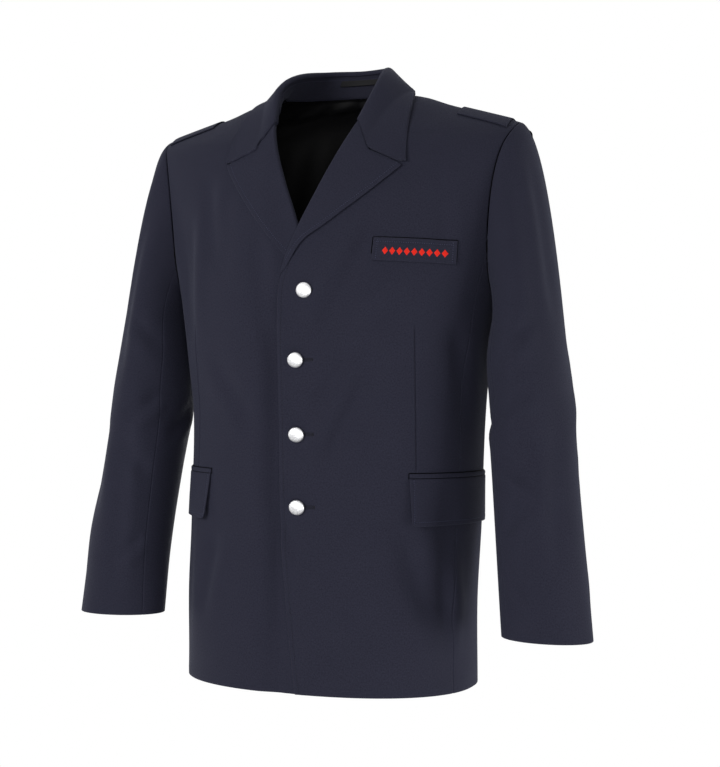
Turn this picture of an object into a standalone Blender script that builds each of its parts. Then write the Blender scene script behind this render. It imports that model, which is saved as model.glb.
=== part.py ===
"""A firefighter's dress jacket, filled out as if it were worn, with nobody in it.

Metres, +Z up. A wearer would face -Y, with the wearer's left at +X. The origin lies midway between
the two side neck points, where a wearer's shoulders would carry the jacket.

Each cut piece is a flat grid bent onto the jacket's form and given its cloth thickness inwards.
The body's form runs round by an angle (0 centre front, 90 degrees the wearer's left side, 180 centre
back) and up by a level (0 hem, 1 chest, 2 neck).
"""

import math
from collections import namedtuple

import bmesh
import bpy
from mathutils import Vector
from mathutils.bvhtree import BVHTree

CLOTH = 0.002
THIN_CLOTH = 0.0012
SEAM_GAP = 0.0004
PI = math.pi

# Body, from the hem up to the chest: a row for each level round.
Section = namedtuple("Section", "height half_width front back shift")
BODY = (
    Section(-0.768, 0.1955, 0.138, 0.122, -0.0070),
    Section(-0.660, 0.1965, 0.139, 0.121, -0.0088),
    Section(-0.560, 0.1968, 0.141, 0.112, -0.0035),
    Section(-0.430, 0.1972, 0.145, 0.099, 0.0010),
    Section(-0.350, 0.2045, 0.148, 0.102, 0.0),
    Section(-0.275, 0.2154, 0.147, 0.111, 0.0),
)
HEM = BODY[0].height
CHEST = BODY[-1].height
BODY_SQUARENESS = 2.3

# Yoke: every line up from the chest bends at the shoulder's corner ring and ends on the neck ring.
NECK_HALF_WIDTH = 0.078
NECK_FRONT = 0.0394
NECK_BACK = 0.078
NECK_BACK_RISE = 0.012
SHOULDER_HALF_WIDTH = 0.2711
SHOULDER_FRONT = 0.1296
SHOULDER_BACK = 0.128
SHOULDER_SLOPE = 0.285
SHOULDER_FRONT_DROP = 0.100
SHOULDER_BACK_DROP = 0.050
CHEST_BEND = (2.82, 6.32)
NECK_BEND = (2.17, 4.24)

# Armhole, an egg round the side line: its half angle, and the levels of its lowest and highest points.
ARMHOLE_HALF_ANGLE = math.radians(25)
ARMHOLE_BOTTOM = 1.008
ARMHOLE_TOP = 1.618
ARMHOLE_EGG = 1.5
ARMHOLE_LIP = 0.0035
SIDE_SEAM_ANGLE = math.radians(20)

# Folds pressed into the body: where round, how wide, from and to which height, and how deep.
Fold = namedtuple("Fold", "angle width top bottom depth lean")
BODY_FOLDS = (
    Fold(-56, 7, -0.130, -0.330, -0.0050, 0.0),
    Fold(-46, 8, -0.150, -0.360, 0.0030, 0.0),
    Fold(62, 8, -0.500, -0.760, -0.0060, 6.0),
    Fold(48, 10, -0.560, -0.760, 0.0030, 10.0),
    Fold(-60, 9, -0.530, -0.760, -0.0045, -4.0),
    Fold(128, 10, -0.330, -0.560, -0.0050, 10.0),
    Fold(-128, 10, -0.350, -0.540, -0.0045, -12.0),
    Fold(150, 9, -0.480, -0.760, 0.0030, 4.0),
    Fold(-148, 9, -0.520, -0.760, 0.0030, -6.0),
)

# The fronts' free edges, up past the roll line's start to the neck, seen from the front. The right one
# is written as if on the left.
Edge = namedtuple("Edge", "height left right")
FRONT_EDGE = (
    Edge(-0.7800, -0.0015, -0.0085),
    Edge(-0.7000, -0.0110, -0.0160),
    Edge(-0.6400, -0.0168, -0.0195),
    Edge(-0.5800, -0.0215, -0.0225),
    Edge(-0.4200, -0.0234, -0.0234),
    Edge(-0.3000, -0.0252, -0.0252),
    Edge(-0.2550, -0.0243, -0.0243),
    Edge(-0.2380, -0.0195, -0.0165),
    Edge(-0.2255, -0.0164, -0.0110),
    Edge(-0.1836, 0.0008, 0.0072),
    Edge(-0.1384, 0.0215, 0.0258),
    Edge(-0.0779, 0.0466, 0.0516),
    Edge(-0.0436, 0.0591, 0.0642),
    Edge(0.0000, 0.0725, 0.0754),
    Edge(0.0300, 0.0760, 0.0772),
)
UNDERLAP_DROP = 0.0028
CROSSING_DROP = 0.0034
FOLD_RADIUS = 0.0036
LAPEL_LIFT = 0.0034

# Lapels, seen from the front: the height of each row's fold, then its middle and its outer edge. The
# right lapel is written as if on the left. The top row is the gorge seam, with its corner in the middle.
LapelRow = namedtuple("LapelRow", "fold_z middle_x middle_z edge_x edge_z")
LEFT_LAPEL = (
    LapelRow(-0.2340, -0.0185, -0.2335, -0.0155, -0.2325),
    LapelRow(-0.2000, -0.0030, -0.2022, 0.0040, -0.2045),
    LapelRow(-0.1710, 0.0186, -0.1767, 0.0336, -0.1824),
    LapelRow(-0.1310, 0.0455, -0.1435, 0.0708, -0.1529),
    LapelRow(-0.1050, 0.0610, -0.1210, 0.0944, -0.1329),
    LapelRow(-0.0460, 0.0763, -0.0880, 0.1213, -0.1085),
)
RIGHT_LAPEL = (
    LapelRow(-0.2330, -0.0155, -0.2360, -0.0115, -0.2385),
    LapelRow(-0.1985, 0.0067, -0.2100, 0.0179, -0.2212),
    LapelRow(-0.1540, 0.0345, -0.1680, 0.0559, -0.1822),
    LapelRow(-0.1200, 0.0535, -0.1365, 0.0812, -0.1521),
    LapelRow(-0.0850, 0.0690, -0.1080, 0.1071, -0.1193),
    LapelRow(-0.0430, 0.0777, -0.0830, 0.1195, -0.0995),
)
GORGE_GAP = 0.0008

# Collar leaf, from the centre back round to the gorge: its fold, its middle and its outer edge.
CollarRow = namedtuple("CollarRow", "fold middle edge")
COLLAR = (
    CollarRow((0.000, 0.084, 0.0490), (0.000, 0.0975, 0.031), (0.000, 0.1070, 0.005)),
    CollarRow((0.042, 0.064, 0.0465), (0.051, 0.0760, 0.029), (0.062, 0.0860, 0.002)),
    CollarRow((0.062, 0.003, 0.0325), (0.0782, 0.0050, 0.0218), (0.1015, 0.0060, 0.001)),
    CollarRow((0.067, -0.040, 0.0070), (0.089, -0.0440, -0.014), (0.114, -0.0440, -0.040)),
    CollarRow((0.056, -0.079, -0.0430), (0.077, -0.1010, -0.085), (0.1195, -0.0960, -0.1012)),
)

# Sleeve tube, from the upper arm down to the cuff: its middle, and its half sizes across and fore and aft.
SleeveRow = namedtuple("SleeveRow", "height x y across fore_aft twist")
SLEEVE = (
    SleeveRow(-0.300, 0.2595, -0.0080, 0.0430, 0.0750, 0.0),
    SleeveRow(-0.340, 0.2600, -0.0130, 0.0485, 0.0750, 0.0),
    SleeveRow(-0.380, 0.2640, -0.0181, 0.0510, 0.0720, 1.0),
    SleeveRow(-0.420, 0.2685, -0.0209, 0.0540, 0.0670, 2.0),
    SleeveRow(-0.500, 0.2765, -0.0324, 0.0535, 0.0600, 3.0),
    SleeveRow(-0.600, 0.2875, -0.0440, 0.0556, 0.0520, 5.0),
    SleeveRow(-0.6925, 0.2962, -0.0490, 0.0583, 0.0425, 8.0),
)
SLEEVE_FRONT_SEAM = math.radians(133)
SLEEVE_BACK_SEAM = math.radians(235)
CAP_FULLNESS = 0.30
SLEEVE_FOLDS = (
    Fold(95, 30, -0.340, -0.420, -0.0045, 40.0),
    Fold(60, 26, -0.430, -0.520, -0.0035, 40.0),
    Fold(150, 28, -0.380, -0.460, -0.0030, -30.0),
    Fold(-60, 30, -0.400, -0.500, -0.0030, 30.0),
    Fold(20, 24, -0.520, -0.640, 0.0020, 20.0),
)

# Hip pocket flaps: the front corner of each, how far they run back, and how deep they hang.
FLAP_FRONT_X = {1: 0.1368, -1: -0.1300}
FLAP_TOP = -0.4968
FLAP_LENGTH = 0.155
FLAP_DEPTH = 0.0585
FLAP_RAKE = 0.002
FLAP_CORNER = 0.0055
FLAP_CORNER_PULL = 0.11
FLAP_LIFT = 0.0028
JETTING_HEIGHT = 0.0060

# Breast pocket welt, seen from the front: its lower inner corner, length, height and tilt.
WELT_CORNER = (0.0925, -0.2290)
WELT_LENGTH = 0.0945
WELT_HEIGHT = 0.0290
WELT_TILT = -0.039
WELT_LIFT = 0.0028

# Shoulder loop, seen from above.
LOOP_INNER = 0.171
LOOP_OUTER = 0.236
LOOP_HALF_WIDTH = 0.033
LOOP_LIFT = 0.0030

# Buttons on the wearer's left front.
ButtonPlace = namedtuple("ButtonPlace", "x height")
BUTTONS = (
    ButtonPlace(0.0107, -0.2650),
    ButtonPlace(0.0006, -0.3510),
    ButtonPlace(0.0011, -0.4434),
    ButtonPlace(0.0013, -0.5338),
)
BUTTON_RADIUS = 0.01025
BUTTON_HEIGHT = 0.0068
BUTTON_RIM = 0.0026
BUTTON_RINGS = 5
BUTTON_SIDES = 16
BUTTON_LIFT = 0.0004

# Inside of the neck.
STAND_END = 0.90
HANGER_HALF_LENGTH = 0.030
HANGER_LOW = 0.52
HANGER_HIGH = 0.76
HANGER_LIFT = 0.0008
NECK_LINING_ANGLE = math.radians(62)
NECK_LINING_BOTTOM = 1.22
LINING_SINK = 0.0050
LINING_TOP_SINK = 0.0028
LINING_PLEAT = 0.0016


def clear_scene():
    for old in list(bpy.data.objects):
        bpy.data.objects.remove(old, do_unlink=True)


def power(value, exponent):
    return math.copysign(abs(value) ** exponent, value)


def mix(first, second, share):
    return first + (second - first) * share


def step(value, low, high):
    """0 below low, 1 above high, and a soft rise between."""
    share = min(max((value - low) / (high - low), 0.0), 1.0)
    return share * share * (3 - 2 * share)


def smooth(rows, keys, at):
    """Smooth values through the rows at their keys. A row is a tuple of numbers."""
    at = min(max(at, keys[0]), keys[-1])
    first = 0
    while first < len(keys) - 2 and keys[first + 1] < at:
        first += 1
    span = keys[first + 1] - keys[first]
    share = (at - keys[first]) / span

    def slope(index, column):
        low = max(index - 1, 0)
        high = min(index + 1, len(keys) - 1)
        return (rows[high][column] - rows[low][column]) / (keys[high] - keys[low]) * span

    values = []
    for column in range(len(rows[0])):
        start = rows[first][column]
        end = rows[first + 1][column]
        value = start * (1 + 2 * share) * (1 - share) ** 2 + end * share * share * (3 - 2 * share)
        value += slope(first, column) * share * (1 - share) ** 2
        value += slope(first + 1, column) * share * share * (share - 1)
        values.append(value)
    return values


def fold_depth(folds, angle, height):
    """How far out the folds move the cloth here. An angle is in radians, and a fold's in degrees."""
    total = 0.0
    degrees = math.degrees(angle)
    for fold in folds:
        along = (fold.top - height) / (fold.top - fold.bottom)
        if not 0 < along < 1:
            continue
        off = (degrees - fold.angle - fold.lean * along + 180) % 360 - 180
        total += fold.depth * math.exp(-((off / fold.width) ** 2)) * math.sin(PI * along)
    return total


BODY_KEYS = [row.height for row in BODY]


def body_ring(angle, height):
    side = math.sin(angle)
    fore = math.cos(angle)
    _, half_width, front, back, shift = smooth(BODY, BODY_KEYS, height)
    depth = front if fore > 0 else back
    x = shift + half_width * power(side, 2 / BODY_SQUARENESS)
    y = -depth * power(fore, 2 / BODY_SQUARENESS)
    return Vector((x, y, height))


def neck_ring(angle):
    side = math.sin(angle)
    fore = math.cos(angle)
    depth = NECK_FRONT if fore > 0 else NECK_BACK
    rise = 0.0 if fore > 0 else NECK_BACK_RISE * abs(fore)
    return Vector((NECK_HALF_WIDTH * power(side, 0.9), -depth * fore, 0.002 + rise))


def shoulder_ring(angle):
    side = math.sin(angle)
    fore = math.cos(angle)
    depth = SHOULDER_FRONT if fore > 0 else SHOULDER_BACK
    drop = SHOULDER_FRONT_DROP if fore > 0 else SHOULDER_BACK_DROP
    x = SHOULDER_HALF_WIDTH * power(side, 1.4)
    y = -depth * power(fore, 1.058)
    z = 0.002 - SHOULDER_SLOPE * (abs(x) - NECK_HALF_WIDTH) - drop * abs(fore) ** 1.548
    return Vector((x, y, z))


def torso(angle, level):
    """A point of the body's outside."""
    if level <= 1:
        point = body_ring(angle, mix(HEM, CHEST, level))
    else:
        share = level - 1
        corner = shoulder_ring(angle)
        sideness = math.sin(angle) ** 4
        low_bend = mix(CHEST_BEND[0], CHEST_BEND[1], sideness)
        high_bend = mix(NECK_BEND[0], NECK_BEND[1], sideness)
        point = corner + (body_ring(angle, CHEST) - corner) * (1 - share) ** low_bend
        point += (neck_ring(angle) - corner) * share**high_bend
    out = fold_depth(BODY_FOLDS, angle, point.z)
    return point + Vector((math.sin(angle), -math.cos(angle), 0)) * out


def torso_normal(angle, level):
    across = torso(angle + 0.01, level) - torso(angle - 0.01, level)
    low = max(level - 0.005, 0.0)
    high = min(level + 0.005, 2.0)
    return across.cross(torso(angle, high) - torso(angle, low)).normalized()


def on_torso(angle, level, lift):
    return torso(angle, level) + torso_normal(angle, level) * lift


def find_on_torso(first, second, axes, start):
    """The angle and level of the body's point whose two named coordinates are the given ones."""
    angle, level = start
    for _ in range(14):
        here = torso(angle, level)
        by_angle = (torso(angle + 0.002, level) - here) / 0.002
        by_level = (torso(angle, level - 0.002) - here) / -0.002
        a, b = by_angle[axes[0]], by_level[axes[0]]
        c, d = by_angle[axes[1]], by_level[axes[1]]
        miss_first = first - here[axes[0]]
        miss_second = second - here[axes[1]]
        size = a * d - b * c
        if abs(size) < 1e-9:
            size = 1e-9
        angle += min(max((miss_first * d - miss_second * b) / size, -0.25), 0.25)
        level += min(max((miss_second * a - miss_first * c) / size, -0.2), 0.2)
        level = min(max(level, 0.0), 1.998)
        if abs(miss_first) + abs(miss_second) < 1e-6:
            break
    return angle, level


def from_front(x, z):
    level = (z - HEM) / (CHEST - HEM) if z < CHEST else 1 + 0.35 * (z - CHEST) / 0.17
    return find_on_torso(x, z, (0, 2), (x / 0.19, min(level, 1.75)))


def from_above(x, y):
    return find_on_torso(x, y, (0, 1), (PI / 2 + y / 0.1, 1.7))


EDGE_KEYS = [row.height for row in FRONT_EDGE]


def front_edge_x(height, side=1):
    _, left, right = smooth(FRONT_EDGE, EDGE_KEYS, height)
    return left if side > 0 else right


def angle_where(level, low, high, miss):
    """The angle between low and high at which miss(point) passes zero."""
    for _ in range(34):
        middle = (low + high) / 2
        if miss(torso(middle, level)) > 0:
            high = middle
        else:
            low = middle
    return (low + high) / 2


def front_edge_angle(level):
    return angle_where(level, -0.35, 1.5, lambda point: point.x - front_edge_x(point.z))


def centre_back_angle(level):
    edge = torso(PI, level).x + SEAM_GAP
    return angle_where(level, PI / 2, PI, lambda point: edge - point.x)


def underlap_drop(x, z):
    """How far the wearer's right front lies behind the left one, where they overlap."""
    drop = UNDERLAP_DROP * step(x, -0.062, -0.028)
    band = step(z, -0.285, -0.245) * (1 - step(z, -0.165, -0.125))
    return drop + CROSSING_DROP * step(x, -0.055, -0.018) * band


def armhole_level(turn):
    """The level of the armhole's edge. A turn is 0 at the shoulder, a quarter at the front."""
    reach = ARMHOLE_TOP - ARMHOLE_BOTTOM
    return ARMHOLE_BOTTOM + reach * ((1 + math.cos(turn)) / 2) ** ARMHOLE_EGG


def armhole_point(turn):
    return torso(PI / 2 - ARMHOLE_HALF_ANGLE * math.sin(turn), armhole_level(turn))


SIDE_SEAM_TURN = PI - math.asin(SIDE_SEAM_ANGLE / ARMHOLE_HALF_ANGLE)
BODY_ROWS = 12
ARMHOLE_ROWS = 11
SHOULDER_ROWS = 4
PANEL_ROWS = BODY_ROWS + ARMHOLE_ROWS + SHOULDER_ROWS
SIDE_SEAM_HALF_GAP = math.radians(0.19)
SHOULDER_SEAM_HALF_GAP = math.radians(0.30)


def panel_row(share):
    """For a share of a panel's height: its level, and how far its outer edge lies from the side line."""
    row = share * PANEL_ROWS
    side_top = armhole_level(SIDE_SEAM_TURN)
    if row <= BODY_ROWS:
        return side_top * row / BODY_ROWS, SIDE_SEAM_ANGLE + SIDE_SEAM_HALF_GAP
    row -= BODY_ROWS
    if row <= ARMHOLE_ROWS:
        turn = SIDE_SEAM_TURN * (1 - row / ARMHOLE_ROWS)
        angle = (ARMHOLE_HALF_ANGLE + math.radians(0.25)) * math.sin(turn) + SIDE_SEAM_HALF_GAP
        level = armhole_level(turn) + ARMHOLE_LIP * (1 + math.cos(turn)) / 2
        return level, max(angle, SHOULDER_SEAM_HALF_GAP)
    row -= ARMHOLE_ROWS
    return mix(ARMHOLE_TOP + ARMHOLE_LIP, 2.0, row / SHOULDER_ROWS), SHOULDER_SEAM_HALF_GAP


def front_panel(share_round, share_up):
    level, off_side = panel_row(share_up)
    start = front_edge_angle(level)
    angle = mix(start, PI / 2 - off_side, share_round)
    return torso(angle, level)


def back_panel(share_round, share_up):
    level, off_side = panel_row(share_up)
    angle = mix(PI / 2 + off_side, centre_back_angle(level), share_round)
    return torso(angle, level)


def side_panel(share_round, share_up):
    angle = mix(-1, 1, share_round) * (SIDE_SEAM_ANGLE - SIDE_SEAM_HALF_GAP)
    turn = PI - math.asin(abs(angle) / ARMHOLE_HALF_ANGLE)
    top = armhole_level(turn) - 0.0012
    return torso(PI / 2 + angle, top * share_up)


def mirrored(surface):
    """The wearer's right piece of a wearer's left one."""

    def other(share_round, share_up):
        point = surface(1 - share_round, share_up)
        return Vector((-point.x, point.y, point.z))

    return other


def right_front_panel(share_round, share_up):
    level, off_side = panel_row(share_up)
    start = angle_where(level, -1.5, 0.35, lambda point: point.x + front_edge_x(point.z, -1))
    angle = mix(-(PI / 2 - off_side), start, share_round)
    point = torso(angle, level)
    return point - torso_normal(angle, level) * underlap_drop(point.x, point.z)


def right_back_panel(share_round, share_up):
    level, off_side = panel_row(share_up)
    angle = mix(-centre_back_angle(level), -(PI / 2 + off_side), share_round)
    return torso(angle, level)


def right_side_panel(share_round, share_up):
    angle = mix(-1, 1, share_round) * (SIDE_SEAM_ANGLE - SIDE_SEAM_HALF_GAP)
    turn = PI - math.asin(abs(angle) / ARMHOLE_HALF_ANGLE)
    top = armhole_level(turn) - 0.0012
    return torso(-PI / 2 + angle, top * share_up)


def body_tree():
    """The body's outside as a search tree, for pieces that lie on it without following its grid."""
    columns = 180
    rows = 110
    points = []
    faces = []
    for row in range(rows + 1):
        for column in range(columns):
            points.append(torso(2 * PI * column / columns, 2.0 * row / rows))
    for row in range(rows):
        for column in range(columns):
            after = (column + 1) % columns
            faces.append(
                (
                    row * columns + column,
                    row * columns + after,
                    (row + 1) * columns + after,
                    (row + 1) * columns + column,
                )
            )
    return BVHTree.FromPolygons(points, faces)


def clear_of(tree, point, clearance):
    """The point, moved out along the body's normal where it lies nearer than the clearance."""
    for _ in range(2):
        near, normal, _, _ = tree.find_nearest(point)
        height = (point - near).dot(normal)
        if height < clearance:
            point = point + normal * (clearance - height)
    return point


def rolled(fold, out, up, share):
    """The rolled edge of a turned cloth: from inside the fold (share 0) round to its top (share 1)."""
    turn = mix(math.radians(-20), PI / 2, share)
    return fold + up * (FOLD_RADIUS * math.sin(turn)) - out * (FOLD_RADIUS * math.cos(turn))


ROLL_SHARE = 0.2


def lapel_flat(side, share_up, share_out):
    """The lapel's place seen from the front."""
    rows = LEFT_LAPEL if side > 0 else RIGHT_LAPEL
    keys = [index / (len(rows) - 1) for index in range(len(rows))]
    fold_z, middle_x, middle_z, edge_x, edge_z = smooth(rows, keys, share_up)
    fold_x = front_edge_x(fold_z, side) - FOLD_RADIUS
    if share_out < 0.5:
        return mix(fold_x, middle_x, share_out * 2), mix(fold_z, middle_z, share_out * 2)
    return mix(middle_x, edge_x, share_out * 2 - 1), mix(middle_z, edge_z, share_out * 2 - 1)


def lapel_point(side, share_up, share_out):
    """A point of a lapel. The left one lies on the left front, the right one on the sunk right front."""

    def place(x, z, lift):
        if side > 0:
            angle, level = from_front(x, z)
            return on_torso(angle, level, lift)
        angle, level = from_front(-x, z)
        point = torso(angle, level)
        sunk = underlap_drop(point.x, point.z)
        return point + torso_normal(angle, level) * (lift - sunk)

    fold_x, fold_z = lapel_flat(side, share_up, 0)
    near_x, near_z = lapel_flat(side, share_up, 0.02)
    base = place(fold_x, fold_z, 0)
    out = (place(near_x, near_z, 0) - base).normalized()
    up = (place(fold_x, fold_z, 0.001) - base).normalized()
    centre = base + out * FOLD_RADIUS + up * (LAPEL_LIFT - FOLD_RADIUS)
    if share_out < ROLL_SHARE:
        return rolled(centre, out, up, share_out / ROLL_SHARE)
    flat = (share_out - ROLL_SHARE) / (1 - ROLL_SHARE)
    edge_x, edge_z = lapel_flat(side, share_up, 1)
    width = math.hypot(edge_x - fold_x, edge_z - fold_z)
    start = min(FOLD_RADIUS / max(width, FOLD_RADIUS), 0.5)
    if flat < 0.5:
        flat = mix(start, 0.5, flat * 2)
    x, z = lapel_flat(side, share_up, flat)
    return place(x, z, LAPEL_LIFT)


def lapel_surface(side):
    if side > 0:
        return lambda share_round, share_up: lapel_point(1, share_up, share_round)
    return lambda share_round, share_up: lapel_point(-1, share_up, 1 - share_round)


COLLAR_KEYS = (0.0, 0.27, 0.56, 0.79, 1.0)
# On the wearer's right the collar's fold stands further out beside the neck.
RIGHT_FOLD_OUT = 0.0034


def collar_curves(along):
    """The collar's fold, middle and edge. Along runs from the right gorge (-1) to the left (1)."""
    rows = [row.fold + row.middle + row.edge for row in COLLAR]
    rows = [tuple(-value if index % 3 == 0 else value for index, value in enumerate(rows[1]))] + rows
    keys = [-COLLAR_KEYS[1]] + list(COLLAR_KEYS)
    values = smooth(rows, keys, abs(along))
    if along < 0:
        values = [-value if index % 3 == 0 else value for index, value in enumerate(values)]
        values[0] -= RIGHT_FOLD_OUT * math.exp(-(((along + 0.86) / 0.13) ** 2))
    return Vector(values[0:3]), Vector(values[3:6]), Vector(values[6:9])


def collar_frame(along):
    """At the fold: its centre, the way out to the leaf, and the way up from it."""
    fold, middle, _ = collar_curves(along)
    ahead, _, _ = collar_curves(min(along + 0.01, 1))
    behind, _, _ = collar_curves(max(along - 0.01, -1))
    tangent = (ahead - behind).normalized()
    out = middle - fold
    out = (out - tangent * out.dot(tangent)).normalized()
    up = out.cross(tangent)
    if up.z < 0:
        up = -up
    frontness = step(abs(along), 0.45, 0.95)
    level_out = Vector((out.x, out.y, 0)).normalized()
    out = mix(level_out, out, frontness).normalized()
    up = mix(Vector((0, 0, 1)), up, frontness).normalized()
    centre = fold + out * (FOLD_RADIUS * frontness) - up * (FOLD_RADIUS * (1 - frontness))
    return centre, out, up


def leaf_surface(tree):
    def surface(share_round, share_up):
        along = mix(-1, 1, share_round)
        side = 1 if along > 0 else -1
        share_out = 1 - share_up
        centre, out, up = collar_frame(along)
        if share_out < ROLL_SHARE:
            point = rolled(centre, out, up, share_out / ROLL_SHARE)
        else:
            flat = (share_out - ROLL_SHARE) / (1 - ROLL_SHARE)
            _, middle, edge = collar_curves(along)
            top = rolled(centre, out, up, 1)
            bend = top + out * 0.004
            if flat < 0.5:
                share = flat * 2
                point = mix(mix(top, bend, share), mix(bend, middle, share), share)
            else:
                point = mix(middle, edge, flat * 2 - 1)
            point = clear_of(tree, point, LAPEL_LIFT)
        joined = step(abs(along), 0.80, 1.0)
        if joined > 0:
            seam = lapel_point(side, 1.0, share_out)
            seam += (seam - lapel_point(side, 0.97, share_out)).normalized() * GORGE_GAP
            point = mix(point, seam, joined)
        return point

    return surface


def neckline_points():
    """The neck's sewn edge on the wearer's left, from the centre back to the gorge."""
    points = []
    for index in range(16):
        points.append(torso(mix(PI, PI / 2, index / 15), 2.0))
    end = front_edge_angle(2.0)
    for index in range(1, 6):
        points.append(torso(mix(PI / 2, end, index / 5), 2.0))
    for index in range(1, 16):
        level = mix(2.0, 1.74, index / 15)
        points.append(torso(front_edge_angle(level), level))
    return points


def along_points(points, share):
    """The point at a share of a line's length."""
    lengths = [0.0]
    for before, after in zip(points, points[1:]):
        lengths.append(lengths[-1] + (after - before).length)
    target = share * lengths[-1]
    for index in range(len(points) - 1):
        if lengths[index + 1] >= target:
            span = lengths[index + 1] - lengths[index]
            return mix(points[index], points[index + 1], (target - lengths[index]) / span)
    return points[-1]


def stand_surface():
    line = neckline_points()

    def surface(share_round, share_up):
        along = mix(-1, 1, share_round) * STAND_END
        foot = along_points(line, abs(along)).copy()
        if along < 0:
            foot.x = -foot.x
        foot.z += 0.0006
        centre, out, up = collar_frame(along)
        head = centre - out * 0.0002 - up * (FOLD_RADIUS * 0.2)
        lean = out * (0.004 * math.sin(PI * share_up))
        return mix(foot, head, share_up * 0.94) - lean * 0.4

    return surface


def hanger_surface(stand):
    def surface(share_round, share_up):
        along = mix(-1, 1, share_round) * HANGER_HALF_LENGTH / 0.185
        up = mix(HANGER_LOW, HANGER_HIGH, share_up)
        round_ = (along / STAND_END + 1) / 2
        point = stand(round_, up)
        across = stand(round_ + 0.01, up) - stand(round_ - 0.01, up)
        inward = across.cross(stand(round_, up + 0.05) - stand(round_, up - 0.05)).normalized()
        return point + inward * HANGER_LIFT

    return lambda share_round, share_up: surface(1 - share_round, share_up)


def lining_surface(share_round, share_up):
    angle = PI + mix(-1, 1, share_round) * NECK_LINING_ANGLE
    level = mix(NECK_LINING_BOTTOM, 1.998, share_up)
    pleat = LINING_PLEAT * math.exp(-(((angle - PI) / math.radians(5)) ** 2))
    sink = mix(LINING_SINK, LINING_TOP_SINK, share_up**2)
    return on_torso(angle, level, -sink - pleat)


def sleeve_ring(turn, height):
    keys = [-row.height for row in SLEEVE]
    _, x, y, across, fore_aft, twist = smooth(SLEEVE, keys, -height)
    out = across * math.cos(turn)
    back = -fore_aft * math.sin(turn)
    twist = math.radians(twist)
    x += out * math.cos(twist) + back * math.sin(twist)
    y += back * math.cos(twist) - out * math.sin(twist)
    return Vector((x, y, height))


SLEEVE_TOP = SLEEVE[0].height
CUFF = SLEEVE[-1].height
CAP_SHARE = 0.42


def sleeve_point(turn, share_down):
    """A point of the wearer's left sleeve, from the armhole (0) to the cuff (1)."""
    if share_down >= CAP_SHARE:
        height = mix(SLEEVE_TOP, CUFF, (share_down - CAP_SHARE) / (1 - CAP_SHARE))
        point = sleeve_ring(turn, height)
    else:
        share = share_down / CAP_SHARE
        upness = (1 + math.cos(turn)) / 2
        leave = Vector((0.35 + 0.65 * upness, -0.45 * math.sin(turn), -0.95 + 0.72 * upness))
        leave.normalize()
        start = armhole_point(turn) + leave * SEAM_GAP
        end = sleeve_ring(turn, SLEEVE_TOP)
        reach = (end - start).length
        arrive = (sleeve_ring(turn, SLEEVE_TOP - 0.03) - end).normalized() * reach
        leave = leave * reach * mix(0.30, CAP_FULLNESS, upness)
        point = start * ((1 + 2 * share) * (1 - share) ** 2) + leave * (share * (1 - share) ** 2)
        point += end * (share * share * (3 - 2 * share)) + arrive * (share * share * (share - 1))
    out = fold_depth(SLEEVE_FOLDS, turn, point.z)
    return point + Vector((math.cos(turn), -math.sin(turn), 0)) * out


def sleeve_piece(tree, start, end):
    def surface(share_round, share_up):
        share_down = 1 - share_up
        turn = mix(end, start, share_round)
        point = sleeve_point(turn, share_down)
        clearance = mix(SEAM_GAP, 0.0014, step(share_down, 0.0, 0.06))
        if point.x < 0.235:
            point = clear_of(tree, point, clearance)
        return point

    return surface


def flap_ends(side):
    """The angles at which a hip flap starts and ends."""
    start, level = from_front(FLAP_FRONT_X[side], FLAP_TOP)
    end = start
    gone = 0.0
    while gone < FLAP_LENGTH:
        following = end + side * math.radians(0.5)
        gone += (torso(following, level) - torso(end, level)).length
        end = following
    return start, end


def band_on_body(side, top, bottom, lift, rake=0.0, corner=0.0):
    """A strip sewn to the hip from its front end round to its rear end."""
    start, end = flap_ends(side)

    def surface(share_round, share_up):
        share = share_round if side > 0 else 1 - share_round
        if corner > 0:
            # The sections crowd towards the ends, so that the small corners come out round.
            share -= FLAP_CORNER_PULL * math.sin(2 * PI * share)
        from_end = min(share, 1 - share) * FLAP_LENGTH
        rounding = 0.0
        if from_end < corner:
            rounding = corner - math.sqrt(max(corner**2 - (corner - from_end) ** 2, 0.0))
        height = mix(bottom + rounding, top, share_up)
        level = (height - HEM) / (CHEST - HEM)
        angle = mix(start, end, share) + side * rake * (1 - share_up) / 0.16
        return on_torso(angle, level, lift)

    return surface


def welt_surface(share_round, share_up):
    along = share_round * WELT_LENGTH
    up = share_up * WELT_HEIGHT
    x = WELT_CORNER[0] + along - up * WELT_TILT
    z = WELT_CORNER[1] + up + along * WELT_TILT
    angle, level = from_front(x, z)
    return on_torso(angle, level, WELT_LIFT)


def loop_surface(share_round, share_up):
    x = mix(LOOP_OUTER, LOOP_INNER, share_up)
    y = mix(-LOOP_HALF_WIDTH, LOOP_HALF_WIDTH, share_round)
    angle, level = from_above(x, y)
    return on_torso(angle, level, LOOP_LIFT)


MATERIALS = {}


def cloth_material(name, colour, roughness, metallic=0.0):
    if name not in MATERIALS:
        material = bpy.data.materials.new(name)
        material.use_nodes = True
        shader = material.node_tree.nodes["Principled BSDF"]
        shader.inputs["Base Color"].default_value = (*colour, 1)
        shader.inputs["Roughness"].default_value = roughness
        shader.inputs["Metallic"].default_value = metallic
        material.diffuse_color = (*colour, 1)
        MATERIALS[name] = material
    return MATERIALS[name]


def wool(name):
    return cloth_material(name + "_wool", (0.028, 0.029, 0.045), 0.85)


def satin(name):
    return cloth_material(name + "_satin", (0.012, 0.012, 0.014), 0.45)


def silver(name):
    return cloth_material(name + "_silver", (0.75, 0.75, 0.75), 0.3, 1.0)


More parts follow.
